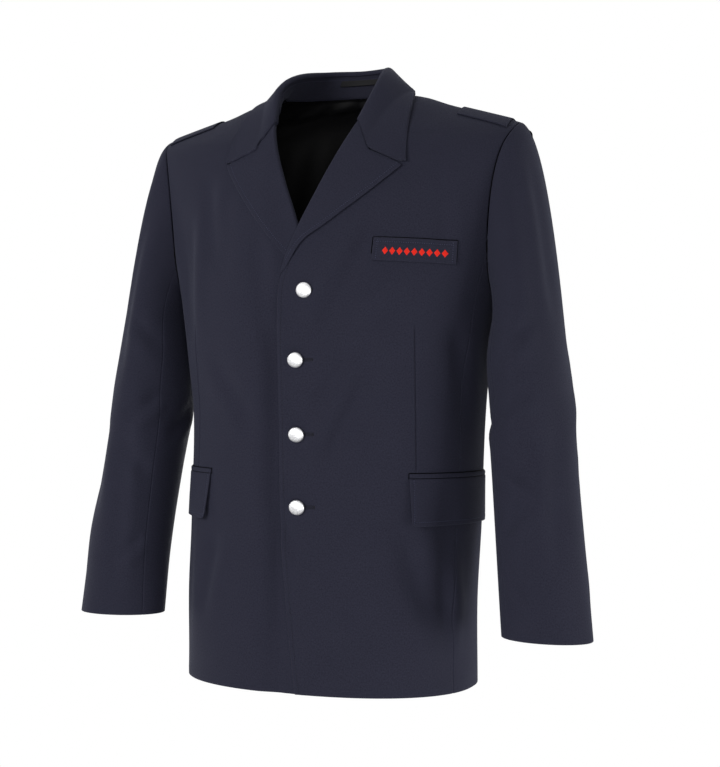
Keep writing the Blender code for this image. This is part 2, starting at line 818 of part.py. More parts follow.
def cloth_piece(collection, name, surface, columns, rows, thickness=CLOTH, material=wool):
    """A flat grid bent onto a surface, then thickened inwards."""
    mesh = bpy.data.meshes.new(name)
    grid = bmesh.new()
    bmesh.ops.create_grid(grid, x_segments=columns, y_segments=rows, size=1.0)
    for vertex in grid.verts:
        share_round = (vertex.co.x + 1) / 2
        share_up = (vertex.co.y + 1) / 2
        vertex.co = surface(share_round, share_up)
    grid.to_mesh(mesh)
    grid.free()
    mesh.shade_smooth()
    mesh.set_sharp_from_angle(angle=math.radians(40))
    piece = bpy.data.objects.new(name, mesh)
    collection.objects.link(piece)
    mesh.materials.append(material(name))
    wall = piece.modifiers.new("cloth thickness", "SOLIDIFY")
    wall.thickness = thickness
    wall.offset = -1.0
    wall.use_even_offset = False
    return piece


def button(collection, name, place):
    """A domed metal button, turned round its own axis and laid on the front."""
    mesh = bpy.data.meshes.new(name)
    profile = [Vector((0, 0, BUTTON_HEIGHT))]
    for index in range(1, BUTTON_RINGS + 1):
        turn = PI / 2 * index / BUTTON_RINGS
        height = BUTTON_RIM + (BUTTON_HEIGHT - BUTTON_RIM) * math.cos(turn)
        profile.append(Vector((BUTTON_RADIUS * math.sin(turn), 0, height)))
    profile.append(Vector((BUTTON_RADIUS * 0.97, 0, BUTTON_RIM * 0.45)))
    profile.append(Vector((BUTTON_RADIUS * 0.62, 0, 0.0)))
    profile.append(Vector((0, 0, 0.0)))
    edges = [(index, index + 1) for index in range(len(profile) - 1)]
    mesh.from_pydata(profile, edges, [])
    piece = bpy.data.objects.new(name, mesh)
    collection.objects.link(piece)
    mesh.materials.append(silver(name))
    turned = piece.modifiers.new("turned round", "SCREW")
    turned.steps = BUTTON_SIDES
    turned.render_steps = BUTTON_SIDES
    turned.use_merge_vertices = True
    turned.merge_threshold = 0.00005
    turned.use_normal_calculate = True
    angle, level = from_front(place.x, place.height)
    normal = torso_normal(angle, level)
    piece.location = on_torso(angle, level, BUTTON_LIFT)
    piece.rotation_euler = normal.to_track_quat("Z", "Y").to_euler()
    return piece


def build_jacket():
    clear_scene()
    jacket = bpy.data.collections.new("firefighter dress jacket")
    bpy.context.scene.collection.children.link(jacket)
    tree = body_tree()
    cloth_piece(jacket, "front_left", front_panel, 12, PANEL_ROWS)
    cloth_piece(jacket, "front_right", right_front_panel, 12, PANEL_ROWS)
    cloth_piece(jacket, "back_left", back_panel, 8, PANEL_ROWS)
    cloth_piece(jacket, "back_right", right_back_panel, 8, PANEL_ROWS)
    cloth_piece(jacket, "side_left", side_panel, 4, BODY_ROWS)
    cloth_piece(jacket, "side_right", right_side_panel, 4, BODY_ROWS)

    seam = math.radians(0.45)
    upper = sleeve_piece(tree, SLEEVE_BACK_SEAM - 2 * PI + seam, SLEEVE_FRONT_SEAM - seam)
    under = sleeve_piece(tree, SLEEVE_FRONT_SEAM + seam, SLEEVE_BACK_SEAM - seam)
    cloth_piece(jacket, "sleeve_top_left", upper, 15, 19)
    cloth_piece(jacket, "sleeve_top_right", mirrored(upper), 15, 19)
    cloth_piece(jacket, "sleeve_under_left", under, 6, 19)
    cloth_piece(jacket, "sleeve_under_right", mirrored(under), 6, 19)

    for name, side in (("left", 1), ("right", -1)):
        cloth_piece(jacket, "lapel_" + name, lapel_surface(side), 10, 12)
        low = FLAP_TOP - FLAP_DEPTH
        flap = band_on_body(side, FLAP_TOP, low, FLAP_LIFT, FLAP_RAKE, FLAP_CORNER)
        cloth_piece(jacket, "flap_" + name, flap, 12, 4)
        low = FLAP_TOP + SEAM_GAP
        jetting = band_on_body(side, low + JETTING_HEIGHT, low, 0.0024)
        cloth_piece(jacket, "flap_welt_" + name, jetting, 12, 1)
    cloth_piece(jacket, "breast_welt", welt_surface, 6, 2)
    cloth_piece(jacket, "shoulder_loop_left", loop_surface, 6, 3)
    cloth_piece(jacket, "shoulder_loop_right", mirrored(loop_surface), 6, 3)

    cloth_piece(jacket, "collar_leaf", leaf_surface(tree), 32, 10)
    stand = stand_surface()
    cloth_piece(jacket, "collar_stand", stand, 28, 3)
    cloth_piece(jacket, "hanger_loop", hanger_surface(stand), 8, 1, THIN_CLOTH, satin)
    cloth_piece(jacket, "neck_lining", lining_surface, 18, 8, THIN_CLOTH, satin)
    for index, place in enumerate(BUTTONS):
        button(jacket, "button_" + str(index + 1), place)


build_jacket()
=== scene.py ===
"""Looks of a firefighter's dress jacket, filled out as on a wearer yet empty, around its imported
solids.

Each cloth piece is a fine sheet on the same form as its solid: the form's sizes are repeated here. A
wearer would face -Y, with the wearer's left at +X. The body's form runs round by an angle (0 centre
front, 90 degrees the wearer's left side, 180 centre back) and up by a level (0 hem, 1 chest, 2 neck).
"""

import math
from collections import namedtuple

import bmesh
import bpy
import numpy as np
from mathutils import Matrix, Vector
from mathutils.bvhtree import BVHTree


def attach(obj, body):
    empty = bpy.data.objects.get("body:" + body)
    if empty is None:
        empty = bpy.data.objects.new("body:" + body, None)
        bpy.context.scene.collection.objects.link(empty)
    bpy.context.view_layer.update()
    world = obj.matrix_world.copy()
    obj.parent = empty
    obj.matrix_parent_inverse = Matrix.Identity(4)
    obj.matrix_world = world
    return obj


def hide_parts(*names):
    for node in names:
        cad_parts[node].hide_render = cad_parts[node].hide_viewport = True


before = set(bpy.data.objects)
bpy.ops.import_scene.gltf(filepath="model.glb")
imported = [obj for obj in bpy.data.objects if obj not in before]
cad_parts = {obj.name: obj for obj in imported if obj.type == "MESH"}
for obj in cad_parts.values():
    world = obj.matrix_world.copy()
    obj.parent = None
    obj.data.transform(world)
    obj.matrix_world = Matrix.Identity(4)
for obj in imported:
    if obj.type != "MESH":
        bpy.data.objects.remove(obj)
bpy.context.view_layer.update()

PI = math.pi
CLOTH = 0.0020
THIN_CLOTH = 0.0011
SEAM_GAP = 0.00012
# In the seams' grooves the sheets lap a little, as their turnings do: in metres, and round a
# sleeve and the body.
SEAM_LAP = 0.0003
SLEEVE_LAP = math.radians(0.60)
SIDE_SEAM_LAP = math.radians(0.14)
SIDES = ((1, "left"), (-1, "right"))
SEWN_OVER_HEM = ("seam", "seam", "pressed", "seam")


def table(name, columns, rows):
    """Rows of numbers whose columns have names."""
    row_type = namedtuple(name, columns)
    return [row_type(*row) for row in rows]


# ---------------------------------------------------------------- the jacket's form
# It is that of the solids, but for the gaps, the left lapel's lowest row, the flaps' rake and bow, the
# lift of the shoulder loops, the buttons' radius and stand, and how far round the neck facing runs.

BODY = table("Section", "height half_width front back shift", (
    (-0.768, 0.1955, 0.138, 0.122, -0.0070),
    (-0.660, 0.1965, 0.139, 0.121, -0.0088),
    (-0.560, 0.1968, 0.141, 0.112, -0.0035),
    (-0.430, 0.1972, 0.145, 0.099, 0.0010),
    (-0.350, 0.2045, 0.148, 0.102, 0.0),
    (-0.275, 0.2154, 0.147, 0.111, 0.0),
))
BODY_KEYS = [row.height for row in BODY]
HEM = BODY[0].height
CHEST = BODY[-1].height
BODY_SQUARENESS = 2.3
NECK_HALF_WIDTH = 0.078
NECK_FRONT = 0.0394
NECK_BACK = 0.078
NECK_BACK_RISE = 0.012
SHOULDER_HALF_WIDTH = 0.2711
SHOULDER_FRONT = 0.1296
SHOULDER_BACK = 0.128
SHOULDER_SLOPE = 0.285
SHOULDER_FRONT_DROP = 0.100
SHOULDER_BACK_DROP = 0.050
CHEST_BEND = (2.82, 6.32)
NECK_BEND = (2.17, 4.24)
ARMHOLE_HALF_ANGLE = math.radians(25)
ARMHOLE_BOTTOM = 1.008
ARMHOLE_TOP = 1.618
ARMHOLE_EGG = 1.5
SIDE_SEAM_ANGLE = math.radians(20)
SIDE_SEAM_TURN = PI - math.asin(SIDE_SEAM_ANGLE / ARMHOLE_HALF_ANGLE)

# Broad folds of the body and the sleeves, as in the solids.
FOLD_COLUMNS = "angle width top bottom depth lean"
BODY_FOLDS = table("Fold", FOLD_COLUMNS, (
    (-56, 7, -0.130, -0.330, -0.0050, 0.0),
    (-46, 8, -0.150, -0.360, 0.0030, 0.0),
    (62, 8, -0.500, -0.760, -0.0060, 6.0),
    (48, 10, -0.560, -0.760, 0.0030, 10.0),
    (-60, 9, -0.530, -0.760, -0.0045, -4.0),
    (128, 10, -0.330, -0.560, -0.0050, 10.0),
    (-128, 10, -0.350, -0.540, -0.0045, -12.0),
    (150, 9, -0.480, -0.760, 0.0030, 4.0),
    (-148, 9, -0.520, -0.760, 0.0030, -6.0),
))
SLEEVE_FOLDS = table("Fold", FOLD_COLUMNS, (
    (95, 30, -0.340, -0.420, -0.0045, 40.0),
    (60, 26, -0.430, -0.520, -0.0035, 40.0),
    (150, 28, -0.380, -0.460, -0.0030, -30.0),
    (-60, 30, -0.400, -0.500, -0.0030, 30.0),
    (20, 24, -0.520, -0.640, 0.0020, 20.0),
))

FRONT_EDGE = table("Edge", "height left right", (
    (-0.7800, -0.0015, -0.0085),
    (-0.7000, -0.0110, -0.0160),
    (-0.6400, -0.0168, -0.0195),
    (-0.5800, -0.0215, -0.0225),
    (-0.4200, -0.0234, -0.0234),
    (-0.3000, -0.0252, -0.0252),
    (-0.2550, -0.0243, -0.0243),
    (-0.2380, -0.0195, -0.0165),
    (-0.2255, -0.0164, -0.0110),
    (-0.1836, 0.0008, 0.0072),
    (-0.1384, 0.0215, 0.0258),
    (-0.0779, 0.0466, 0.0516),
    (-0.0436, 0.0591, 0.0642),
    (0.0000, 0.0725, 0.0754),
    (0.0300, 0.0760, 0.0772),
))
EDGE_KEYS = [row.height for row in FRONT_EDGE]
UNDERLAP_DROP = 0.0028
CROSSING_DROP = 0.0034
FOLD_RADIUS = 0.0036
LAPEL_LIFT = 0.0034
LAPEL_LOW_LIFT = 0.0005
ROLL_SHARE = 0.2

LAPEL_COLUMNS = "fold_z middle_x middle_z edge_x edge_z"
LEFT_LAPEL = table("LapelRow", LAPEL_COLUMNS, (
    (-0.2425, -0.0208, -0.2420, -0.0188, -0.2410),
    (-0.2000, -0.0030, -0.2022, 0.0040, -0.2045),
    (-0.1710, 0.0186, -0.1767, 0.0336, -0.1824),
    (-0.1310, 0.0455, -0.1435, 0.0708, -0.1529),
    (-0.1050, 0.0610, -0.1210, 0.0944, -0.1329),
    (-0.0460, 0.0763, -0.0880, 0.1213, -0.1085),
))
RIGHT_LAPEL = table("LapelRow", LAPEL_COLUMNS, (
    (-0.2330, -0.0155, -0.2360, -0.0115, -0.2385),
    (-0.1985, 0.0067, -0.2100, 0.0179, -0.2212),
    (-0.1540, 0.0345, -0.1680, 0.0559, -0.1822),
    (-0.1200, 0.0535, -0.1365, 0.0812, -0.1521),
    (-0.0850, 0.0690, -0.1080, 0.1071, -0.1193),
    (-0.0430, 0.0777, -0.0830, 0.1195, -0.0995),
))
GORGE_GAP = 0.00015
NOTCH_GAP = 0.0010
NOTCH_CORNER = 0.0046
LAPEL_TIP = 0.011

COLLAR = table("CollarRow", "fold middle edge", (
    ((0.000, 0.084, 0.0490), (0.000, 0.0975, 0.031), (0.000, 0.1070, 0.005)),
    ((0.042, 0.064, 0.0465), (0.051, 0.0760, 0.029), (0.062, 0.0860, 0.002)),
    ((0.062, 0.003, 0.0325), (0.0782, 0.0050, 0.0218), (0.1015, 0.0060, 0.001)),
    ((0.067, -0.040, 0.0070), (0.089, -0.0440, -0.014), (0.114, -0.0440, -0.040)),
    ((0.056, -0.079, -0.0430), (0.077, -0.1010, -0.085), (0.1195, -0.0960, -0.1012)),
))
COLLAR_KEYS = (0.0, 0.27, 0.56, 0.79, 1.0)
# On the wearer's right the collar's fold stands further out beside the neck.
RIGHT_FOLD_OUT = 0.0034
STAND_END = 0.90

SLEEVE = table("SleeveRow", "height x y across fore_aft twist", (
    (-0.300, 0.2595, -0.0080, 0.0430, 0.0750, 0.0),
    (-0.340, 0.2600, -0.0130, 0.0485, 0.0750, 0.0),
    (-0.380, 0.2640, -0.0181, 0.0510, 0.0720, 1.0),
    (-0.420, 0.2685, -0.0209, 0.0540, 0.0670, 2.0),
    (-0.500, 0.2765, -0.0324, 0.0535, 0.0600, 3.0),
    (-0.600, 0.2875, -0.0440, 0.0556, 0.0520, 5.0),
    (-0.6925, 0.2962, -0.0490, 0.0583, 0.0425, 8.0),
))
SLEEVE_KEYS = [-row.height for row in SLEEVE]
SLEEVE_TOP = SLEEVE[0].height
CUFF = SLEEVE[-1].height
CAP_SHARE = 0.42
CAP_FULLNESS = 0.30
SLEEVE_FRONT_SEAM = math.radians(133)
SLEEVE_BACK_SEAM = math.radians(235)
# Creases and the spacing of points take an arm of these radii.
CREASE_ARM_RADIUS = 0.056
ARM_RADIUS = 0.062

FLAP_FRONT_X = {1: 0.1368, -1: -0.1300}
FLAP_TOP = -0.4968
FLAP_LENGTH = 0.155
FLAP_DEPTH = 0.0585
FLAP_RAKE = 0.0045
FLAP_CORNER = 0.0055
FLAP_LIFT = 0.0028
# The flaps stand off at their lower edge, most at the front corner.
FLAP_LOW_BOW = 0.0014
FLAP_CORNER_BOW = 0.0034
JETTING_HEIGHT = 0.0060
JETTING_LIFT = 0.0024

WELT_CORNER = (0.0925, -0.2290)
WELT_LENGTH = 0.0945
WELT_HEIGHT = 0.0290
WELT_TILT = -0.039
WELT_LIFT = 0.0028

LOOP_INNER = 0.171
LOOP_OUTER = 0.236
LOOP_HALF_WIDTH = 0.033
LOOP_LIFT = 0.0025

BUTTONS = table("ButtonPlace", "x height hole_from hole_to", (
    (0.0107, -0.2650, -0.0012, 0.0222),
    (0.0006, -0.3510, 0.0006, 0.0232),
    (0.0011, -0.4434, 0.0011, 0.0240),
    (0.0013, -0.5338, 0.0013, 0.0242),
))
BUTTON_RADIUS = 0.0098
BUTTON_HEIGHT = 0.0068
BUTTON_STAND = 0.0016
BUTTON_RIM = 0.0026
# On its shank each button hangs a little over, facing down and to the wearer's left.
BUTTON_TILT = (0.16, 0.0, -0.24)

HANGER_HALF_LENGTH = 0.030
HALF_NECKLINE = 0.185
HANGER_LOW = 0.52
HANGER_HIGH = 0.76
HANGER_LIFT = 0.0008
NECK_FACING_ANGLE = math.radians(86)
NECK_LINING_BOTTOM = 1.22
LINING_SINK = 0.0050
LINING_TOP_SINK = 0.0028
LINING_PLEAT = 0.0016
LINING_BULGE = 0.0038

# ---------------------------------------------------------------- finer shape that only this file has

# Drape lines and creases seen from the front or the back: a soft trough along the line from one end to
# the other, with a low ridge beside it. Metres, and every depth is taken times the strength.
CREASE_STRENGTH = 2.0
CREASES = table("Crease", "face x0 z0 x1 z1 width depth", (
    ("front", 0.028, -0.492, 0.098, -0.345, 0.011, 0.0026),
    ("front", 0.020, -0.410, 0.080, -0.330, 0.012, 0.0012),
    ("front", 0.022, -0.330, 0.098, -0.170, 0.014, 0.0022),
    ("front", 0.085, -0.315, 0.150, -0.255, 0.013, 0.0014),
    ("front", 0.028, -0.600, 0.120, -0.480, 0.013, 0.0012),
    ("front", 0.126, -0.560, 0.166, -0.690, 0.015, 0.0034),
    ("front", 0.175, -0.570, 0.176, -0.740, 0.010, -0.0024),
    ("front", -0.020, -0.545, 0.004, -0.610, 0.008, 0.0016),
    ("front", -0.036, -0.300, -0.040, -0.560, 0.011, 0.0018),
    ("front", -0.062, -0.180, -0.040, -0.360, 0.013, 0.0026),
    ("front", -0.150, -0.110, -0.128, -0.235, 0.013, 0.0018),
    ("front", -0.118, -0.130, -0.108, -0.250, 0.014, 0.0010),
    ("front", -0.175, -0.160, -0.166, -0.330, 0.011, 0.0018),
    ("front", -0.060, -0.440, -0.130, -0.340, 0.013, 0.0016),
    ("front", -0.120, -0.565, -0.150, -0.680, 0.013, 0.0022),
    ("front", 0.166, -0.100, 0.176, -0.230, 0.010, 0.0014),
    ("front", 0.185, -0.300, 0.196, -0.460, 0.009, 0.0020),
    ("back", 0.150, -0.120, 0.120, -0.300, 0.013, 0.0026),
    ("back", -0.155, -0.110, -0.130, -0.310, 0.013, 0.0024),
    ("back", 0.060, -0.420, 0.150, -0.350, 0.013, 0.0020),
    ("back", -0.050, -0.400, -0.150, -0.330, 0.014, 0.0022),
    ("back", 0.030, -0.470, 0.100, -0.455, 0.010, 0.0016),
    ("back", -0.020, -0.440, -0.110, -0.470, 0.011, 0.0018),
    ("back", 0.080, -0.560, 0.100, -0.740, 0.014, 0.0020),
    ("back", -0.090, -0.580, -0.105, -0.750, 0.014, 0.0022),
    ("back", 0.010, -0.040, 0.016, -0.150, 0.016, 0.0010),
))

# Creases of the sleeves, by the turn round the arm in degrees (0 outside, 90 front, 180 inside) and
# the height. Metres otherwise.
SLEEVE_CREASE_COLUMNS = "turn0 z0 turn1 z1 width depth"
LEFT_SLEEVE_CREASES = table("SleeveCrease", SLEEVE_CREASE_COLUMNS, (
    (125, -0.360, 60, -0.300, 0.010, 0.0018),
    (130, -0.425, 70, -0.385, 0.010, 0.0022),
    (128, -0.470, 75, -0.500, 0.009, 0.0020),
    (120, -0.560, 80, -0.520, 0.009, 0.0022),
    (122, -0.600, 88, -0.640, 0.008, 0.0024),
    (30, -0.100, 20, -0.300, 0.014, 0.0016),
    (62, -0.120, 50, -0.330, 0.013, 0.0014),
    (40, -0.420, 52, -0.600, 0.013, 0.0016),
    (-60, -0.330, -20, -0.440, 0.013, 0.0020),
    (-80, -0.420, -30, -0.500, 0.012, 0.0018),
    (-70, -0.550, -40, -0.650, 0.012, 0.0014),
    (200, -0.400, 150, -0.440, 0.011, 0.0022),
))
RIGHT_SLEEVE_CREASES = table("SleeveCrease", SLEEVE_CREASE_COLUMNS, (
    (128, -0.330, 80, -0.290, 0.011, 0.0016),
    (130, -0.400, 85, -0.430, 0.010, 0.0022),
    (124, -0.500, 90, -0.470, 0.010, 0.0020),
    (126, -0.590, 96, -0.610, 0.009, 0.0022),
    (40, -0.090, 30, -0.280, 0.014, 0.0016),
    (70, -0.150, 60, -0.380, 0.013, 0.0016),
    (85, -0.420, 92, -0.660, 0.012, 0.0018),
    (30, -0.400, 38, -0.560, 0.013, 0.0014),
    (-55, -0.350, -25, -0.450, 0.013, 0.0018),
    (-85, -0.440, -35, -0.520, 0.012, 0.0018),
    (195, -0.410, 150, -0.450, 0.011, 0.0020),
))

BUTTONHOLE_HALF_HEIGHT = 0.0022
BUTTONHOLE_RIB = 0.00050

# Front darts: seen from the front, the line, its ends and how deep the stitched groove is.
DART_X = {1: 0.1447, -1: -0.1585}
DART_TOP = -0.3043
DART_BOTTOM = -0.4870
DART_DEPTH = 0.0016
DART_HALF_WIDTH = 0.0010

# Beside the overlap the right front sinks into a soft valley, and each shoulder swells towards the neck.
VALLEY_DEPTH = 0.0100
VALLEY_X = -0.0265
VALLEY_WIDTH = 0.0125
SHOULDER_SWELL = 0.0024
SHOULDER_SWELL_X = 0.122

# How an edge is finished: seams turn in, and free edges are pressed round with a row of pick stitches.
SEAM_DEPTH = 0.0007
SEAM_WIDTH = 0.0018
FINE_EDGE_DEPTH = 0.00025
FINE_EDGE_WIDTH = 0.0010
EDGE_ROUNDING = 0.0009
# How far in from a free edge the painted highlight reaches.
EDGE_HIGHLIGHT_REACH = 0.0016
STITCH_INSET = 0.0058
STITCH_GROOVE_DEPTH = 0.00028
STITCH_GROOVE_WIDTH = 0.0009
STITCH_PITCH = 0.0028
STITCH_LENGTH = 0.0014
STITCH_WIDTH = 0.00070


def mix(first, second, share):
    return first + (second - first) * share


def step(value, low, high):
    """0 below low, 1 above high, and a soft rise between."""
    share = np.clip((value - low) / (high - low), 0.0, 1.0)
    return share * share * (3 - 2 * share)


def power(value, exponent):
    return np.sign(value) * np.abs(value) ** exponent


def unit(vectors):
    return vectors / np.maximum(np.linalg.norm(vectors, axis=-1, keepdims=True), 1e-12)


def arrays(*values):
    return np.broadcast_arrays(*(np.asarray(value, float) for value in values))


def pack_xyz(x, y, z):
    return np.stack(np.broadcast_arrays(x, y, z), axis=-1).astype(float)


def smooth(rows, keys, at):
    """Smooth values through the rows at their keys, one for each number of a row."""
    rows = np.asarray(rows, float)
    keys = np.asarray(keys, float)
    at = np.clip(np.asarray(at, float), keys[0], keys[-1])
    last = len(keys) - 1
    first = np.clip(np.searchsorted(keys, at, side="left") - 1, 0, last - 1)
    span = keys[first + 1] - keys[first]
    share = ((at - keys[first]) / span)[..., None]

    def slope(index):
        low = np.maximum(index - 1, 0)
        high = np.minimum(index + 1, last)
        rise = (rows[high] - rows[low]) / (keys[high] - keys[low])[..., None]
        return rise * span[..., None]

    value = rows[first] * (1 + 2 * share) * (1 - share) ** 2
    value += rows[first + 1] * share * share * (3 - 2 * share)
    value += slope(first) * share * (1 - share) ** 2
    value += slope(first + 1) * share * share * (share - 1)
    return value


def fold_depth(folds, angle, height):
    """How far out the broad folds move the cloth. An angle is in radians, and a fold's in degrees."""
    total = np.zeros(np.broadcast(angle, height).shape)
    degrees = np.degrees(angle)
    for fold in folds:
        along = (fold.top - height) / (fold.top - fold.bottom)
        off = (degrees - fold.angle - fold.lean * along + 180) % 360 - 180
        inside = (along > 0) & (along < 1)
        shape = np.exp(-((off / fold.width) ** 2)) * np.sin(PI * np.clip(along, 0, 1))
        total = total + np.where(inside, fold.depth * shape, 0.0)
    return total


def body_ring(angle, height):
    side = np.sin(angle)
    fore = np.cos(angle)
    row = smooth(BODY, BODY_KEYS, height)
    depth = np.where(fore > 0, row[..., 2], row[..., 3])
    x = row[..., 4] + row[..., 1] * power(side, 2 / BODY_SQUARENESS)
    return pack_xyz(x, -depth * power(fore, 2 / BODY_SQUARENESS), height)


def neck_ring(angle):
    side = np.sin(angle)
    fore = np.cos(angle)
    depth = np.where(fore > 0, NECK_FRONT, NECK_BACK)
    rise = np.where(fore > 0, 0.0, NECK_BACK_RISE * np.abs(fore))
    return pack_xyz(NECK_HALF_WIDTH * power(side, 0.9), -depth * fore, 0.002 + rise)


def shoulder_ring(angle):
    side = np.sin(angle)
    fore = np.cos(angle)
    depth = np.where(fore > 0, SHOULDER_FRONT, SHOULDER_BACK)
    drop = np.where(fore > 0, SHOULDER_FRONT_DROP, SHOULDER_BACK_DROP)
    x = SHOULDER_HALF_WIDTH * power(side, 1.4)
    z = 0.002 - SHOULDER_SLOPE * (np.abs(x) - NECK_HALF_WIDTH) - drop * np.abs(fore) ** 1.548
    return pack_xyz(x, -depth * power(fore, 1.058), z)


def torso(angle, level):
    """Points of the body's outside, with its broad folds."""
    angle, level = arrays(angle, level)
    low = body_ring(angle, mix(HEM, CHEST, np.clip(level, 0, 1)))
    share = np.clip(level - 1, 0, 1)[..., None]
    corner = shoulder_ring(angle)
    sideness = (np.sin(angle) ** 4)[..., None]
    low_bend = mix(CHEST_BEND[0], CHEST_BEND[1], sideness)
    high_bend = mix(NECK_BEND[0], NECK_BEND[1], sideness)
    high = corner + (body_ring(angle, np.full(angle.shape, CHEST)) - corner) * (1 - share) ** low_bend
    high = high + (neck_ring(angle) - corner) * share**high_bend
    point = np.where((level <= 1)[..., None], low, high)
    out = fold_depth(BODY_FOLDS, angle, point[..., 2])
    return point + pack_xyz(np.sin(angle), -np.cos(angle), 0.0) * out[..., None]


def torso_normal(angle, level):
    across = torso(angle + 0.01, level) - torso(angle - 0.01, level)
    up = torso(angle, np.minimum(level + 0.005, 2.0)) - torso(angle, np.maximum(level - 0.005, 0.0))
    return unit(np.cross(across, up))


def crease_shape(flat, start, end, width, past):
    """A trough from start to end with a ridge beside it, fading out at this share past each end."""
    start = np.array(start)
    run = np.array(end) - start
    length = np.linalg.norm(run)
    run = run / length
    flat = flat - start
    along = flat @ run / length
    off = (flat[..., 1] * run[0] - flat[..., 0] * run[1]) / width
    ends = step(along, -past, 0.30) * (1 - step(along, 0.70, 1 + past))
    return ends * (0.55 * np.exp(-((off - 1.5) ** 2)) - np.exp(-(off**2)))


def crease_depth(points, normals):
    """How far out the fine creases of the body move its points."""
    total = np.zeros(points.shape[:-1])
    for crease in CREASES:
        ends = (crease.x0, crease.z0), (crease.x1, crease.z1)
        shape = crease_shape(points[..., (0, 2)], *ends, crease.width, 0.10)
        facing = normals[..., 1] if crease.face == "back" else -normals[..., 1]
        total += crease.depth * shape * step(facing, 0.05, 0.45)
    return total * CREASE_STRENGTH


def on_body(angle, level, lift=0.0):
    """Points on the creased body, moved out by a lift."""
    points = torso(angle, level)
    normals = torso_normal(angle, level)
    out = crease_depth(points, normals) + lift
    near_neck = np.exp(-(((np.abs(points[..., 0]) - SHOULDER_SWELL_X) / 0.022) ** 2))
    swell = SHOULDER_SWELL * near_neck * step(np.asarray(level, float), 1.72, 1.95)
    return points + normals * (np.asarray(out) + swell)[..., None]


def find_on_torso(first, second, axes, start):
    """The angle and level of the body's points whose two named coordinates are the given ones."""
    angle, level = (np.array(value, float) for value in start)
    for _ in range(14):
        here = torso(angle, level)
        by_angle = (torso(angle + 0.002, level) - here) / 0.002
        by_level = (torso(angle, level - 0.002) - here) / -0.002
        a, b = by_angle[..., axes[0]], by_level[..., axes[0]]
        c, d = by_angle[..., axes[1]], by_level[..., axes[1]]
        miss_first = first - here[..., axes[0]]
        miss_second = second - here[..., axes[1]]
        size = a * d - b * c
        size = np.where(np.abs(size) < 1e-9, 1e-9, size)
        angle = angle + np.clip((miss_first * d - miss_second * b) / size, -0.25, 0.25)
        level = level + np.clip((miss_second * a - miss_first * c) / size, -0.2, 0.2)
        level = np.clip(level, 0.0, 1.998)
    return angle, level


def from_front(x, z):
    x, z = arrays(x, z)
    high = 1 + 0.35 * (z - CHEST) / 0.17
    level = np.where(z < CHEST, (z - HEM) / (CHEST - HEM), np.minimum(high, 1.75))
    return find_on_torso(x, z, (0, 2), (x / 0.19, level))


def from_above(x, y):
    x, y = arrays(x, y)
    return find_on_torso(x, y, (0, 1), (PI / 2 + y / 0.1, np.full(x.shape, 1.7)))


def on_cloth(angle, level, lift):
    """Points on the creased body, moved out by a lift, and the body's normals there."""
    return on_body(angle, level, lift), torso_normal(angle, level)


def front_edge_x(height, side=1):
    return smooth(FRONT_EDGE, EDGE_KEYS, height)[..., 1 if side > 0 else 2]


def angle_where(level, low, high, miss, side=1):
    """The angle, towards a side, from low to high at which miss(points) passes zero at each level."""
    low = np.full(np.shape(level), float(low))
    high = np.full(np.shape(level), float(high))
    for _ in range(34):
        middle = (low + high) / 2
        above = miss(torso(middle * side, level)) > 0
        high = np.where(above, middle, high)
        low = np.where(above, low, middle)
    return (low + high) / 2


def front_edge_angle(level, side=1):
    """How far round from the centre, towards its own side, a front's free edge lies."""

    def past_edge(point):
        return point[..., 0] * side - front_edge_x(point[..., 2], side)

    return angle_where(level, -0.35, 1.5, past_edge, side)


def centre_back_angle(level):
    edge = torso(PI, level)[..., 0] - SEAM_LAP
    return angle_where(level, PI / 2, PI, lambda point: edge - point[..., 0])


def underlap_drop(x, z):
    """How far the wearer's right front lies behind the left one, where they overlap."""
    drop = UNDERLAP_DROP * step(x, -0.062, -0.028)
    band = step(z, -0.285, -0.245) * (1 - step(z, -0.165, -0.125))
    return drop + CROSSING_DROP * step(x, -0.055, -0.018) * band


def armhole_level(turn):
    """The level of the armhole's edge. A turn is 0 at the shoulder, a quarter at the front."""
    reach = ARMHOLE_TOP - ARMHOLE_BOTTOM
    return ARMHOLE_BOTTOM + reach * ((1 + np.cos(turn)) / 2) ** ARMHOLE_EGG


def armhole_point(turn):
    return torso(PI / 2 - ARMHOLE_HALF_ANGLE * np.sin(turn), armhole_level(turn))


# ---------------------------------------------------------------- sheets, their edges and their sewing

FINE = (0.0, 0.0005, 0.0011, 0.0018, 0.0027, 0.0038, 0.0050, 0.0058, 0.0067, 0.0085, 0.0115)


def places(length, spacing, low_fine=True, high_fine=True):
    """Shares from 0 to 1 along a cloth of this length, closer together next to its edges."""
    low = [at for at in FINE if low_fine and at < length * 0.45] or [0.0]
    high = [length - at for at in FINE if high_fine and at < length * 0.45] or [length]
    start, end = low[-1], high[-1]
    count = max(int(round((end - start) / spacing)), 1)
    middle = [start + (end - start) * index / count for index in range(1, count)]
    return np.array(sorted(low + middle + high)) / length


def lengths_along(points, axis):
    """How far each point of a grid lies along its row or column."""
    gaps = np.linalg.norm(np.diff(points, axis=axis), axis=-1)
    first = np.zeros_like(np.take(gaps, [0], axis=axis))
    return np.concatenate([first, np.cumsum(gaps, axis=axis)], axis=axis)


def line_lengths(line):
    return lengths_along(line[None], 1)[0]


def at_length(length, along, values):
    """What a line's three values come to at lengths along it."""
    return np.stack([np.interp(length, along, values[:, axis]) for axis in range(3)], axis=-1)


def grid_normals(points):
    return unit(np.cross(np.gradient(points, axis=1), np.gradient(points, axis=0)))


